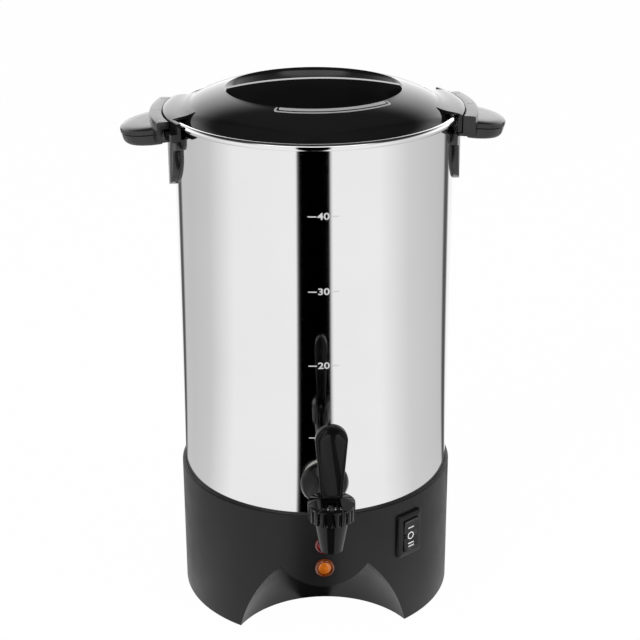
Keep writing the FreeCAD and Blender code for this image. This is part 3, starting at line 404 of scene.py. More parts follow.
def lens(name, colour, glow):
    """A clear coloured lamp lens with fine flutes."""
    material, tree, shader = new_material(name)
    where = place_nodes(tree)
    deep = tuple(channel * 0.45 for channel in colour)
    mottle = spread(tree, noise(tree, where, 260), 0, 1)
    tree.links.new(blend_colours(tree, mottle, deep, colour), shader.inputs["Base Color"])
    shader.inputs["Roughness"].default_value = 0.12
    shader.inputs["Subsurface Weight"].default_value = 0.25
    shader.inputs["Subsurface Radius"].default_value = (0.004, 0.002, 0.001)
    shader.inputs["Emission Color"].default_value = (*colour, 1)
    shader.inputs["Emission Strength"].default_value = glow
    shader.inputs["Coat Weight"].default_value = 0.6
    bump(tree, shader, noise(tree, where, 900), 0.00004)
    return material


# Name, darkest and lightest colour, roughness range, grain's scale and depth in metres, specular level
MOULDED_FINISHES = (
    ("base_plastic", (0.008, 0.008, 0.0085), (0.010, 0.010, 0.0105), (0.32, 0.40), 1400, 0.00002, 0.26),
    ("handle_plastic", (0.010, 0.010, 0.0105), (0.012, 0.012, 0.0125), (0.18, 0.23), 1500, 0.000002, 0.5),
    ("lid_gloss", (0.006, 0.006, 0.006), (0.008, 0.008, 0.008), (0.08, 0.12), 60, 0.000004, 0.38),
    ("tap_gloss", (0.004, 0.004, 0.0045), (0.006, 0.006, 0.0065), (0.08, 0.13), 400, 0.000002, 0.20),
    ("lever_gloss", (0.005, 0.005, 0.0055), (0.007, 0.007, 0.0075), (0.12, 0.18), 900, 0.000002, 0.16),
    ("switch_black", (0.006, 0.006, 0.006), (0.008, 0.008, 0.008), (0.26, 0.34), 1500, 0.00001, 0.25),
    ("rocker_black", (0.006, 0.006, 0.006), (0.008, 0.008, 0.008), (0.12, 0.18), 600, 0.000002, 0.28),
    ("foot_rubber", (0.018, 0.018, 0.018), (0.026, 0.026, 0.026), (0.75, 0.85), 800, 0.00008),
    ("seal_silicone", (0.42, 0.42, 0.40), (0.50, 0.50, 0.48), (0.40, 0.50), 500, 0.00002),
    ("stem_black", (0.010, 0.010, 0.010), (0.014, 0.014, 0.014), (0.35, 0.45), 900, 0.000004),
    ("fuse_ceramic", (0.60, 0.57, 0.50), (0.68, 0.65, 0.58), (0.5, 0.6), 900, 0.00003),
    ("gauge_print", (0.50, 0.50, 0.50), (0.60, 0.60, 0.60), (0.45, 0.55), 900, 0.000004),
    ("mark_print", (0.78, 0.78, 0.78), (0.86, 0.86, 0.86), (0.40, 0.50), 900, 0.000004),
    ("label_print", (0.32, 0.32, 0.32), (0.38, 0.38, 0.38), (0.35, 0.45), 900, 0.000004),
)

# Name, two colours, roughness range, stretch of the fine lines, their scale and depth in metres
METAL_FINISHES = (
    ("polished_steel", (0.80, 0.80, 0.80), (0.83, 0.83, 0.83), (0.045, 0.075), (1, 1, 14), 260, 0.0000006),
    ("screw_steel", (0.55, 0.55, 0.56), (0.64, 0.64, 0.65), (0.22, 0.34), (1, 1, 1), 900, 0.00001),
    ("thermostat_steel", (0.50, 0.50, 0.50), (0.60, 0.60, 0.60), (0.25, 0.38), (1, 1, 1), 700, 0.00001),
    ("spring_steel", (0.55, 0.55, 0.55), (0.62, 0.62, 0.62), (0.18, 0.28), (1, 1, 20), 400, 0.00002),
    ("element_steel", (0.22, 0.19, 0.17), (0.34, 0.31, 0.28), (0.35, 0.55), (1, 1, 1), 300, 0.00002),
    ("heater_aluminium", (0.60, 0.60, 0.61), (0.70, 0.70, 0.71), (0.30, 0.42), (10, 1, 1), 300, 0.00001),
    ("brew_aluminium", (0.66, 0.66, 0.67), (0.74, 0.74, 0.75), (0.22, 0.32), (1, 1, 10), 260, 0.000006),
    ("pin_brass", (0.66, 0.52, 0.24), (0.76, 0.62, 0.32), (0.22, 0.32), (1, 10, 1), 500, 0.00001),
)

# Name, colour and glow
LENS_FINISHES = (
    ("amber_lens", (0.60, 0.15, 0.008), 0.10),
    ("amber_ring", (0.16, 0.030, 0.003), 0.02),
    ("red_lens", (0.34, 0.006, 0.008), 0.05),
    ("red_ring", (0.10, 0.004, 0.005), 0.01),
)

MATERIALS = {finish[0]: moulded(*finish) for finish in MOULDED_FINISHES}
MATERIALS.update({finish[0]: metal(*finish) for finish in METAL_FINISHES})
MATERIALS.update({finish[0]: lens(*finish) for finish in LENS_FINISHES})

body_of_node = {}
for body_name, members in frame["record"]["behaviour"]["bodies"].items():
    for member in members:
        body_of_node[member] = body_name
slot_of_node = {entry["node"]: entry["material_slot"] for entry in frame["record"]["subparts"]}
for node_name, node in nodes.items():
    paint(node, MATERIALS[slot_of_node[node_name]])


def show_smooth(name, material_name=None):
    """Shows a CAD node through a copy of its own shape, with its loose triangles joined and smoothed."""
    piece = copy_of(nodes[name])
    piece.parent = None
    for key in list(piece.keys()):
        del piece[key]
    make_active(piece)
    bpy.ops.object.mode_set(mode="EDIT")
    merge_doubles()
    bpy.ops.object.mode_set(mode="OBJECT")
    shade(piece)
    slot = slot_of_node[name]
    material = MATERIALS[material_name or slot]
    return settle(piece, name + "_skin", body_of_node[name], slot, material, name)


# Tank: the polished wall, its rolled bead and its floor with the pump well

def make_tank():
    well_bottom = TANK_BOTTOM - WELL_DEPTH
    corner_place = (TANK_R - TANK_CORNER, TANK_BOTTOM + TANK_CORNER)
    outside = [(0, well_bottom), (WELL_R - WELL_EDGE, well_bottom), (WELL_R, well_bottom + WELL_EDGE),
               (WELL_R, TANK_BOTTOM)]
    outside += arc_points(corner_place, TANK_CORNER, -90, 0, 8)
    bead_start = math.degrees(math.asin(-(BEAD_R - TANK_R) / BEAD_TUBE))
    outside += arc_points((BEAD_R, BEAD_Z), BEAD_TUBE, -90 + bead_start, 170, 26)
    inner_r = TANK_R - TANK_WALL
    well_inner_r = WELL_R - TANK_WALL
    inside = [(inner_r, BEAD_Z - BEAD_INSIDE_DROP), (inner_r, LEDGE_TOP), (LEDGE_R, LEDGE_TOP),
              (LEDGE_R, LEDGE_UNDER), (inner_r, LEDGE_UNDER)]
    inside += arc_points(corner_place, TANK_CORNER - TANK_WALL, 0, -90, 8)
    inside += [(well_inner_r, TANK_BOTTOM + TANK_WALL), (well_inner_r, well_bottom + TANK_WALL),
               (0, well_bottom + TANK_WALL)]
    tank = lathe(outside + inside, AXIS, 240)
    shade(tank, math.radians(40))
    return settle(tank, "tank_steel", "urn", "polished_steel", MATERIALS["polished_steel"], "tank")


# Base: the round moulding with its cup niche and the lobe that hangs over it

def niche_void(grow):
    """The hollow under the tap, made larger all over by grow, less the hanging lobe."""
    foot = (67.9 * MM + grow, 0)
    middle = (55.5 * MM + grow, 31.1 * MM + grow / 2)
    shoulder = (35.6 * MM + grow, 58 * MM + grow)
    crown = (17.8 * MM, 69.33 * MM + grow)
    top = (0, 75 * MM + grow)
    profile = [(0, CUT_LOW), (foot[0], CUT_LOW), foot]
    profile += arc_through(foot, middle, shoulder, 28)
    profile += arc_through(shoulder, crown, top, 16)
    hollow = lathe(profile, AXIS + Vector((0, NICHE_Y, 0)), 192)
    lobe_front = AXIS + Vector((0, LOBE_FRONT, LOBE_Z))
    lobe = rod(LOBE_R - grow, lobe_front, AXIS + Vector((0, 0, LOBE_Z)), 128)
    return combine(hollow, "DIFFERENCE", lobe)


def make_base():
    lift, foot_edge, foot_top, top_edge = 0.8 * MM, 0.4 * MM, 1.2 * MM, 1.2 * MM
    outside = [(0, lift), (BASE_R - foot_edge, lift), (BASE_R, foot_top)]
    outside += arc_points((BASE_R - top_edge, BASE_TOP - top_edge), top_edge, 0, 90, 6)
    outside += [(0, BASE_TOP)]
    housing = lathe(outside, AXIS, 256)
    room = upright_rod(BASE_R - BASE_WALL, CUT_LOW, SEAT_UNDER, 192)
    combine(room, "DIFFERENCE", niche_void(BASE_WALL))
    seat = upright_rod(SEAT_R, 75 * MM, CUT_HIGH, 192)
    combine(seat, "DIFFERENCE", niche_void(BASE_WALL))
    recess = upright_rod(TANK_R + TANK_GAP, TANK_BOTTOM, CUT_HIGH, 256)
    combine(housing, "DIFFERENCE", room, seat, recess, niche_void(0))
    for height in (AMBER_Z, RED_Z):
        inner_end = ring_place(BASE_R - 14 * MM, 0, height)
        outer_end = ring_place(BASE_R + 5 * MM, 0, height)
        combine(housing, "DIFFERENCE", rod(LAMP_HOLE_R, inner_end, outer_end, 48))
    window_place = ring_place(BASE_R - 6 * MM, SWITCH_BEARING, SWITCH_Z)
    window = block(window_place, (19.1 * MM, 22 * MM, 29.1 * MM), SWITCH_BEARING)
    inlet = block(ring_place(BASE_R - 6.5 * MM, 180, INLET_Z), (27.1 * MM, 23 * MM, 19.7 * MM))
    combine(housing, "DIFFERENCE", window, inlet)
    shade(housing, math.radians(30))
    return settle(housing, "base_moulding", "urn", "base_plastic", MATERIALS["base_plastic"], "base_housing")


# Lid: the glossy dome with two scoops, the wall between them and the locking lugs

def dome_points(inset, low, count):
    """The dome's half oval from a height up to its top."""
    radius, rise = DOME_R - inset, DOME_RISE - inset
    start = math.asin((low - DOME_FOOT) / rise)
    turns = [start + (math.pi / 2 - start) * index / count for index in range(count + 1)]
    made = [(radius * math.cos(turn), DOME_FOOT + rise * math.sin(turn)) for turn in turns]
    made[-1] = (0, DOME_FOOT + rise)
    return made


def bowl_points(grow):
    """The round hollow of the scoops from its middle up its side, made larger by grow."""
    floor_edge = (32 * MM, 352 * MM - grow)
    belly = (50 * MM + grow / 2, 357 * MM - grow)
    side = (56.4 * MM + grow, 366 * MM - grow)
    return [(0, floor_edge[1]), floor_edge] + arc_through(floor_edge, belly, side, 18)


def grip_wall(half_top, half_foot, reach):
    """An upright wall across the lid, thinner at its top."""
    wall = block(AXIS + Vector((0, 0, 366 * MM)), (2 * reach, 2 * half_foot, 40 * MM))
    for face in wall.data.polygons:
        face.select = face.normal.z > 0.9
    bpy.ops.object.mode_set(mode="EDIT")
    bpy.ops.transform.resize(value=(1, half_top / half_foot, 1), center_override=AXIS)
    bpy.ops.object.mode_set(mode="OBJECT")
    return wall


def lug(bearing):
    """A locking lug over the bead, with a lip that goes on to the tongue, and the tongue."""
    plate = [(84, 365.3), (84, 367.0), (86, 366.7), (88, 366.0), (90, 365.4), (92.5, 364.85), (95, 364.5),
             (98, 364.1), (100.5, 363.6), (102.2, 363.0), (102.75, 362.6), (102.9, 362.0), (102.9, 351),
             (100.3, 351), (100.3, 362.5), (90, 362.5), (88.5, 363.0), (84, 365.3)]
    lip = [(100.3, 351), (102.9, 351), (102.9, 362.4), (102.75, 362.9), (102.2, 363.1), (100.3, 363.1),
           (100.3, 351)]
    tongue = [(100.3, 351), (107.2, 351), (107.2, 356), (100.3, 356), (100.3, 351)]
    made = sector(in_metres(plate), bearing - 19.5, 39, 40)
    combine(made, "UNION", sector(in_metres(lip), bearing + 18.2, 8, 8))
    combine(made, "UNION", sector(in_metres(tongue), bearing + 20.2, 6, 6))
    return made


def make_lid():
    dome = dome_points(0, LID_EDGE_TOP, 44)
    inner_dome = dome_points(LID_WALL, LID_LOW, 44)
    profile = [(LID_EDGE_R, LID_LOW), (LID_EDGE_R, LID_EDGE_TOP - LID_EDGE_ROUND),
               (LID_EDGE_INNER_R, LID_EDGE_TOP)]
    profile += [point for point in dome if point[0] > SCOOP_RIM_R]
    profile += in_metres([(60.55, 375.65), (60.2, 375.5), (59.4, 374.87), (58.3, 373.4)])
    profile += list(reversed(bowl_points(0)))
    profile += bowl_points(LID_WALL)
    profile += [point for point in reversed(inner_dome) if point[0] > SCOOP_RIM_UNDER_R]
    profile += [(LID_EDGE_R, LID_LOW)]
    shell = lathe(profile, AXIS, 256)

    # The wall that the fingers hold stays a little under the dome, so that no two faces coincide
    wall = grip_wall(GRIP_TOP_HALF, GRIP_FOOT_HALF, GRIP_REACH)
    room = in_metres([(0, 350.6), (32, 350.6), (52, 356.4), (57.6, 365.4), (59.9, 373.2)])
    room += [point for point in dome_points(0.04 * MM, LID_EDGE_TOP, 44) if point[0] < 59.9 * MM]
    combine(wall, "INTERSECT", lathe(room, AXIS, 192))
    combine(shell, "UNION", wall)

    # The slot hollows that wall from below
    slot = grip_wall(SLOT_TOP_HALF, GRIP_FOOT_HALF - LID_WALL, SLOT_REACH)
    space = [(0, 340 * MM), (SLOT_REACH, 340 * MM)] + dome_points(LID_WALL + 0.2 * MM, LID_LOW, 30)
    combine(slot, "INTERSECT", lathe(space, AXIS, 192))
    combine(shell, "DIFFERENCE", slot)
    combine(shell, "UNION", lug(90), lug(270))
    shade(shell, math.radians(30))
    return settle(shell, "lid_moulding", "lid", "lid_gloss", MATERIALS["lid_gloss"], "lid_shell")


# Handles: a top plate with its bayonet pocket, a hollow hand hold and a knuckle shield

def outlined(points, rise, levels=()):
    """A solid drawn from an outline: moved once by rise, or level by level, each scaled about the origin."""
    piece = chain(points)
    bpy.ops.object.mode_set(mode="EDIT")
    merge_doubles()
    bpy.ops.mesh.edge_face_add()
    if rise:
        bpy.ops.mesh.extrude_region_move(TRANSFORM_OT_translate={"value": rise})
    for step, share in levels:
        bpy.ops.mesh.extrude_region_move(TRANSFORM_OT_translate={"value": (0, 0, step)})
        bpy.ops.transform.resize(value=(share, share, 1), center_override=(0, 0, 0))
    face_outwards()
    return piece


def grip_slab(inset, profile, first_x):
    """The hand hold's half oval, built up through heights and insets, then tipped down."""
    half_long, half_wide = 28.0 * MM - inset, 27 * MM - inset
    limit = math.acos(first_x / half_long)
    low = profile[0][0] * MM
    share = 1 - profile[0][1] * MM / half_wide
    points = []
    for index in range(49):
        turn = -limit + 2 * limit * index / 48
        points.append((half_long * share * math.cos(turn), half_wide * share * math.sin(turn), low))
    points.append(points[0])
    levels = []
    for (height, edge), (next_height, next_edge) in zip(profile, profile[1:]):
        ratio = (1 - next_edge * MM / half_wide) / (1 - edge * MM / half_wide)
        levels.append(((next_height - height) * MM, ratio))
    piece = outlined(points, None, levels)
    piece.rotation_euler = (0, math.radians(HAND_HOLD_TIP), 0)
    piece.location = AXIS + Vector((HAND_HOLD_X, 0, HAND_HOLD_Z))
    apply_place(piece)
    return piece


def shield_plate():
    """The curved knuckle shield, close to the tank."""
    side = [(36, 350), (36, 346), (35.4, 343.6), (33.8, 341.8), (31, 341), (29, 340), (29, 336)]
    outline = [(-36, 350)] + side
    for index in range(1, 32):
        turn = math.pi * index / 32
        outline.append((29 * math.cos(turn), 336 - 25.5 * math.sin(turn)))
    outline += [(-across, height) for across, height in reversed(side)]
    prism = outlined([AXIS + Vector((80 * MM, across * MM, height * MM)) for across, height in outline],
                     (40 * MM, 0, 0))
    ring = [(96.1, 300), (100.4, 300), (100.4, 355), (96.1, 355), (96.1, 300)]
    shield = sector(in_metres(ring), 62, 56, 64)
    combine(shield, "INTERSECT", prism)
    rounding = shield.modifiers.new("edge", "BEVEL")
    rounding.width = 0.7 * MM
    rounding.segments = 2
    rounding.limit_method = "ANGLE"
    rounding.angle_limit = math.radians(50)
    apply_modifiers(shield)
    return shield


def handle_form():
    """The handle on the +X side, before it is shaded."""
    plate = [(103.6, 348), (112, 348), (112, 360.8), (111.65, 361.65), (110.8, 362), (104.2, 362),
             (103.6, 361.6), (103.6, 348)]
    bridge = [(99.6, 348), (104.6, 348), (104.6, 350), (99.6, 350), (99.6, 348)]
    pocket = [(102.6, 350.2), (108.4, 350.2), (108.4, 357), (102.6, 357), (102.6, 350.2)]
    outside = ((-6, 4.2), (-5.3, 2.4), (-4.0, 1.2), (-2.4, 0.7), (1.6, 0.3), (2.0, 0.8), (2.4, 0.0),
               (4.4, 0.0), (5.4, 0.5), (6.0, 1.6), (6.5, 5.0), (6.7, 10.0))
    hollow = ((-12, 0.0), (2.4, 0.4), (3.0, 1.2))
    handle = sector(in_metres(plate), HANDLE_START, HANDLE_SWEEP, 40)
    combine(handle, "UNION", grip_slab(0, outside, 0))
    combine(handle, "UNION", sector(in_metres(bridge), HANDLE_START, HANDLE_SWEEP, 24))
    combine(handle, "UNION", shield_plate())
    combine(handle, "DIFFERENCE", grip_slab(3.2 * MM, hollow, 9.5 * MM))
    combine(handle, "DIFFERENCE", sector(in_metres(pocket), POCKET_START, POCKET_SWEEP, 32))
    return handle


def finish_handle(handle, name, middle):
    """Shades and settles a handle, and prints the plain ticks on its top plate."""
    shade(handle, math.radians(32))
    settle(handle, name + "_moulding", "urn", "handle_plastic", MATERIALS["handle_plastic"], name)
    for label, offset in (("front", -16.5), ("middle", 0), ("back", 16.5)):
        bearing = middle + offset
        tick = block(ring_place(TICK_R, bearing, PLATE_TOP), (1.4 * MM, 4.4 * MM, 0.16 * MM), bearing)
        settle(tick, name + "_tick_" + label, "urn", "handle_plastic", MATERIALS["gauge_print"])


def make_handles():
    """Both handles: the left one is the right one turned half way round the urn."""
    right = handle_form()
    left = copy_of(right)
    left.rotation_euler = (0, 0, math.pi)
    left.location = 2 * AXIS
    apply_place(left)
    finish_handle(right, "handle_right", 90)
    finish_handle(left, "handle_left", 270)


# Lamps: a chamfered ring round a fluted lens

def forward(piece, place):
    """Turns a piece drawn upwards at the origin so that it faces the tap's side, and puts it in place."""
    piece.rotation_euler = (math.radians(90), 0, 0)
    piece.location = place
    apply_place(piece)
    return piece


def make_lamp(name, height, core_material, ring_material):
    origin = Vector((0, 0, 0))
    place = ring_place(BASE_R, 0, height)
    ring = [(4.9, -0.5), (6.8, -0.5), (6.8, 1.1), (6.5, 1.7), (5.8, 2.2), (5.3, 2.1), (4.95, 1.3),
            (4.9, -0.5)]
    bezel = forward(lathe(in_metres(ring), origin, 64), place)
    shade(bezel)
    settle(bezel, name + "_ring", "urn", slot_of_node[name], ring_material)
    core = [(0, 1.95), (1.8, 1.9), (3.4, 1.7), (4.4, 1.35), (4.85, 0.9), (4.85, -11.8), (0, -11.8)]
    lamp = forward(lathe(in_metres(core), origin, 48), place)
    shade(lamp)
    settle(lamp, name + "_lens", "urn", slot_of_node[name], core_material, name)


# Printing: the level gauge, the switch's marks and the lid's bare label

def print_number(text, height):
    """A number printed on the tank, wrapped to its round wall."""
    deselect()
    bpy.ops.object.text_add(location=ring_place(TANK_R + 4 * MM, 0, height),
                            rotation=(math.radians(90), 0, 0))
    number = bpy.context.active_object
    number.data.body = text
    number.data.size = 6.4 * MM
    number.data.offset = 0.12 * MM
    number.data.align_x = "CENTER"
    number.data.align_y = "CENTER"
    number.data.resolution_u = 5
    bpy.ops.object.convert(target="MESH")
    number = bpy.context.active_object
    number.scale = (1.25, 1, 1)
    apply_place(number)
    wrap = number.modifiers.new("wrap", "SHRINKWRAP")
    wrap.target = bpy.data.objects["tank_steel"]
    wrap.wrap_method = "PROJECT"
    wrap.use_project_y = True
    wrap.use_positive_direction = True
    wrap.use_negative_direction = False
    wrap.wrap_mode = "ABOVE_SURFACE"
    wrap.offset = PRINT_PROUD
    apply_modifiers(number)
    return settle(number, "gauge_" + text, "urn", "polished_steel", MATERIALS["gauge_print"])


def make_gauge():
    inner, outer = TANK_R - PRINT_SUNK, TANK_R + PRINT_PROUD
    for text, height in (("10", 157.4), ("20", 210.2), ("30", 262.6), ("40", 313.9)):
        print_number(text, height * MM)
        low, high = (height - 0.35) * MM, (height + 0.35) * MM
        profile = [(inner, low), (outer, low), (outer, high), (inner, high), (inner, low)]
        for side, start, sweep in (("left", -6.1, 3.4), ("right", 3.0, 3.1)):
            tick = sector(profile, start, sweep, 6)
            settle(tick, "gauge_tick_" + text + "_" + side, "urn", "polished_steel", MATERIALS["gauge_print"])


def make_switch_marks():
    """The I, O and II on the rocker's hollowed face."""
    for name, rise in (("mark_i", 5.6), ("mark_ii_upper", -6.7), ("mark_ii_lower", -8.9)):
        radius = ROCKER_FACE_R + (rise * MM) ** 2 / (150 * MM)
        place = ring_place(radius - 0.1 * MM, SWITCH_BEARING, SWITCH_Z + rise * MM)
        bar = block(place, (5.4 * MM, 0.4 * MM, 0.85 * MM), SWITCH_BEARING)
        settle(bar, name, "rocker", "rocker_black", MATERIALS["mark_print"])
    height = SWITCH_Z - 1.0 * MM
    ring = rod(2.9 * MM, ring_place(ROCKER_FACE_R - 0.4 * MM, SWITCH_BEARING, height),
               ring_place(ROCKER_FACE_R + 0.1 * MM, SWITCH_BEARING, height))
    hole = rod(2.05 * MM, ring_place(ROCKER_FACE_R - 2 * MM, SWITCH_BEARING, height),
               ring_place(ROCKER_FACE_R + 2 * MM, SWITCH_BEARING, height))
    combine(ring, "DIFFERENCE", hole)
    settle(ring, "mark_o", "rocker", "rocker_black", MATERIALS["mark_print"])


def label_band(name, material, outer_r, start, end, corner, proud):
    """A band on the dome in front of the scoop, with rounded lower corners."""
    turn_share = math.degrees(corner / outer_r)
    straight = end - start - 2 * turn_share
    places = [(LABEL_RIM_R, start)]
    for index in range(7):
        turn = math.radians(15 * index)
        places.append((outer_r - corner * (1 - math.sin(turn)), start + turn_share * (1 - math.cos(turn))))
    for index in range(1, 24):
        places.append((outer_r, start + turn_share + straight * index / 24))
    for index in range(7):
        turn = math.radians(90 - 15 * index)
        places.append((outer_r - corner * (1 - math.sin(turn)), end - turn_share * (1 - math.cos(turn))))
    for index in range(25):
        places.append((LABEL_RIM_R, end + (start - end) * index / 24))
    cutter = outlined([ring_place(radius, bearing, 340 * MM) for radius, bearing in places], (0, 0, 60 * MM))
    skin = [point for point in dome_points(-proud, LID_EDGE_TOP, 60) if 55 * MM < point[0] < 75 * MM]
    skin += [(radius, height - 0.3 * MM) for radius, height in reversed(skin)]
    band = sector(skin + skin[:1], start - 3, end - start + 6, 60)
    combine(band, "INTERSECT", cutter)
    shade(band)
    return settle(band, name, "lid", "lid_gloss", material)


make_tank()
make_base()
make_lid()
make_lamp("amber_lamp", AMBER_Z, MATERIALS["amber_lens"], MATERIALS["amber_ring"])
make_lamp("red_lamp", RED_Z, MATERIALS["red_lens"], MATERIALS["red_ring"])
make_gauge()
make_switch_marks()
label_band("label_line", MATERIALS["label_print"], 67.0 * MM, -27, 47, 3.0 * MM, 0.04 * MM)
label_band("label_gap", MATERIALS["lid_gloss"], 65.6 * MM, -25.8, 45.8, 2.4 * MM, 0.09 * MM)
label_band("label_field", MATERIALS["label_print"], 64.4 * MM, -24.6, 44.6, 1.8 * MM, 0.14 * MM)
make_handles()
show_smooth("tap_plunger", "stem_black")
for smooth_name in ("tap_body", "tap_bonnet", "tap_lever", "switch_body", "switch_rocker"):
    show_smooth(smooth_name)


# Camera

def make_camera():
    data = bpy.data.cameras.new("camera")
    data.lens = CAMERA_LENS
    data.sensor_width = CAMERA_SENSOR
    data.clip_start = 0.05
    data.clip_end = 50
    camera = bpy.data.objects.new("camera", data)
    bpy.context.scene.collection.objects.link(camera)
    camera.location = CAMERA_PLACE
    turn = Matrix.Rotation(math.radians(CAMERA_TURN), 3, "Z")
    tilt = Matrix.Rotation(math.radians(CAMERA_TILT), 3, "X")
    roll = Matrix.Rotation(math.radians(CAMERA_ROLL), 3, "Z")
    camera.rotation_euler = (turn @ tilt @ roll).to_euler()
    bpy.context.scene.camera = camera


# Studio: a ring of light panels, written as brightness by bearing round the urn

PANEL_STOPS = (
    (-180, 1.0), (-150, 1.0), (-146, 0.10), (-139, 0.10), (-135, 0.62), (-117, 0.62), (-92, 0.68),
    (-66, 0.98), (-22, 1.0), (-13.5, 1.0), (-12.5, 0.0), (12.0, 0.0), (13.0, 1.0), (52, 1.0), (80, 0.74),
    (117, 0.64), (128, 0.60), (132, 0.10), (139, 0.10), (144, 1.0), (180, 1.0),
)
FLOOR_WHITE_SHARE = 0.985
BACK_GLOW = 0.95
FRONT_GLOW = 1.8
SOFT_LIGHT = 0.55
LIGHT_AIM = (0, 0, 0.15)


def panel_ramp(tree, bearing):
    """Brightness of the panels by bearing in radians, counted from the camera's side."""
    ramp = tree.nodes.new("ShaderNodeValToRGB")
    elements = ramp.color_ramp.elements
    first = PANEL_STOPS[0]
    last = PANEL_STOPS[-1]
    elements[0].position = 0
    elements[0].color = (first[1],) * 3 + (1,)
    elements[1].position = 1
    elements[1].color = (last[1],) * 3 + (1,)
    for degrees, level in PANEL_STOPS[1:-1]:
        element = elements.new((degrees + 180) / 360)
        element.color = (level,) * 3 + (1,)
    share = tree.nodes.new("ShaderNodeMapRange")
    share.inputs["From Min"].default_value = -math.pi
    share.inputs["From Max"].default_value = math.pi
    tree.links.new(bearing, share.inputs["Value"])
    tree.links.new(share.outputs["Result"], ramp.inputs["Fac"])
    return ramp.outputs["Color"]


def math_node(tree, operation, *values):
    node = tree.nodes.new("ShaderNodeMath")
    node.operation = operation
    for index, value in enumerate(values):
        if isinstance(value, (int, float)):
            node.inputs[index].default_value = value
        else:
            tree.links.new(value, node.inputs[index])
    return node.outputs[0]


def bearing_node(tree, vector, centre_y):
    """The bearing round the urn of a place or a direction, counted from the camera's side towards +X."""
    turn = tree.nodes.new("ShaderNodeVectorRotate")
    turn.rotation_type = "Z_AXIS"
    turn.inputs["Center"].default_value = (0, centre_y, 0)
    turn.inputs["Angle"].default_value = -math.radians(VIEW_AZIMUTH)
    tree.links.new(vector, turn.inputs["Vector"])
    parts = tree.nodes.new("ShaderNodeSeparateXYZ")
    tree.links.new(turn.outputs["Vector"], parts.inputs["Vector"])
    back = math_node(tree, "SUBTRACT", centre_y, parts.outputs["Y"])
    return math_node(tree, "ARCTAN2", parts.outputs["X"], back)


def mix_shaders(tree, factor, first, second):
    mix = tree.nodes.new("ShaderNodeMixShader")
    tree.links.new(factor, mix.inputs[0])
    tree.links.new(first, mix.inputs[1])
    tree.links.new(second, mix.inputs[2])
    return mix.outputs[0]


def mix_light(tree, way, first, second):
    mix = tree.nodes.new("ShaderNodeMix")
    mix.data_type = "RGBA"
    mix.blend_type = way
    mix.inputs["Factor"].default_value = 1
    tree.links.new(first, mix.inputs["A"])
    tree.links.new(second, mix.inputs["B"])
    return mix.outputs["Result"]


def fade(tree, value, start, end, first=0, last=1):
    """A soft change from first to last while value goes from start to end."""
    mapped = tree.nodes.new("ShaderNodeMapRange")
    mapped.interpolation_type = "SMOOTHSTEP"
    mapped.inputs["From Min"].default_value = start
    mapped.inputs["From Max"].default_value = end
    mapped.inputs["To Min"].default_value = first
    mapped.inputs["To Max"].default_value = last
    tree.links.new(value, mapped.inputs["Value"])
    return mapped.outputs["Result"]


def rise_fade(tree, rise, start, end, first=0, last=1):
    """A soft change between two elevations in degrees, from the Z of a direction."""
    return fade(tree, rise, math.sin(math.radians(start)), math.sin(math.radians(end)), first, last)


def make_floor():
    deselect()
    bpy.ops.mesh.primitive_plane_add(size=12, location=(AXIS.x, AXIS.y, 0))
    floor = bpy.context.active_object
    apply_place(floor)
    floor.name = "floor"
    material = bpy.data.materials.new("floor")
    material.use_nodes = True
    tree = material.node_tree
    tree.nodes.remove(tree.nodes["Principled BSDF"])
    path = tree.nodes.new("ShaderNodeLightPath")
    coordinates = tree.nodes.new("ShaderNodeTexCoord")
    diffuse = tree.nodes.new("ShaderNodeBsdfDiffuse")
    diffuse.inputs["Color"].default_value = (0.86, 0.86, 0.86, 1)
    white = tree.nodes.new("ShaderNodeEmission")
    white.inputs["Strength"].default_value = 1.0
    mirror = tree.nodes.new("ShaderNodeEmission")
    panels = panel_ramp(tree, bearing_node(tree, coordinates.outputs["Object"], AXIS.y))
    tree.links.new(panels, mirror.inputs["Color"])
    seen = math_node(tree, "MULTIPLY", path.outputs["Is Camera Ray"], FLOOR_WHITE_SHARE)
    lit = mix_shaders(tree, seen, diffuse.outputs[0], white.outputs[0])
    shown = mix_shaders(tree, path.outputs["Is Glossy Ray"], lit, mirror.outputs[0])
    tree.links.new(shown, tree.nodes["Material Output"].inputs["Surface"])
    paint(floor, material)


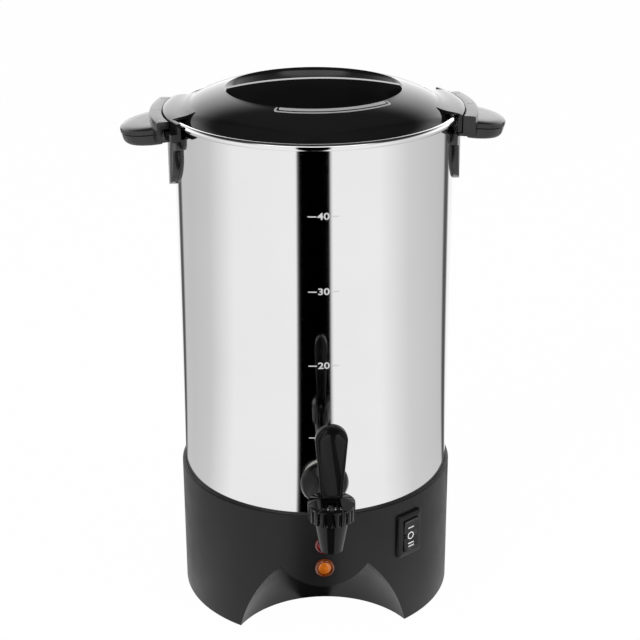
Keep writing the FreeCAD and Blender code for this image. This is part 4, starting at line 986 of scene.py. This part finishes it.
def make_world():
    world = bpy.data.worlds.new("studio")
    bpy.context.scene.world = world
    world.use_nodes = True
    tree = world.node_tree
    tree.nodes.clear()
    out = tree.nodes.new("ShaderNodeOutputWorld")
    path = tree.nodes.new("ShaderNodeLightPath")
    coordinates = tree.nodes.new("ShaderNodeTexCoord")
    direction = coordinates.outputs["Generated"]
    parts = tree.nodes.new("ShaderNodeSeparateXYZ")
    tree.links.new(direction, parts.inputs["Vector"])
    rise = parts.outputs["Z"]
    bearing = bearing_node(tree, direction, 0)
    side = math_node(tree, "ABSOLUTE", bearing)

    # Panels by bearing, darker above
    above = rise_fade(tree, rise, 12, 40, 1, 0.06)
    panels = mix_light(tree, "MULTIPLY", panel_ramp(tree, bearing), above)

    # A glow low behind the urn
    behind = fade(tree, side, math.radians(70), math.radians(130))
    back_light = math_node(tree, "MULTIPLY", behind, rise_fade(tree, rise, 24, 42, 1, 0))
    glow = math_node(tree, "MULTIPLY", back_light, BACK_GLOW)

    # A bright patch high in front
    ahead = fade(tree, side, math.radians(40), math.radians(62), 1, 0)
    front_low = rise_fade(tree, rise, 28, 34)
    front_high = rise_fade(tree, rise, 46, 52, FRONT_GLOW, 0)
    front_light = math_node(tree, "MULTIPLY", math_node(tree, "MULTIPLY", front_low, front_high), ahead)

    glossy = tree.nodes.new("ShaderNodeBackground")
    lights = math_node(tree, "ADD", glow, front_light)
    tree.links.new(mix_light(tree, "ADD", panels, lights), glossy.inputs["Color"])
    white = tree.nodes.new("ShaderNodeBackground")
    white.inputs["Strength"].default_value = 1.0
    soft = tree.nodes.new("ShaderNodeBackground")
    soft.inputs["Strength"].default_value = SOFT_LIGHT
    lit = mix_shaders(tree, path.outputs["Is Camera Ray"], soft.outputs[0], white.outputs[0])
    shown = mix_shaders(tree, path.outputs["Is Glossy Ray"], lit, glossy.outputs[0])
    tree.links.new(shown, out.inputs["Surface"])


def area_light(name, place, size, power):
    """A square lamp, aimed at the middle of the urn, that shows in no reflection."""
    data = bpy.data.lights.new(name, "AREA")
    data.shape = "SQUARE"
    data.size = size
    data.energy = power
    light = bpy.data.objects.new(name, data)
    bpy.context.scene.collection.objects.link(light)
    light.location = place
    light.rotation_euler = (Vector(LIGHT_AIM) - Vector(place)).to_track_quat("-Z", "Y").to_euler()
    light.visible_glossy = False
    light.visible_camera = False


make_camera()
make_floor()
make_world()
area_light("key", (-1.2, -1.3, 1.5), 0.9, 26)
area_light("fill", (1.4, -1.0, 1.0), 0.9, 14)
bpy.context.scene.view_settings.view_transform = "Standard"
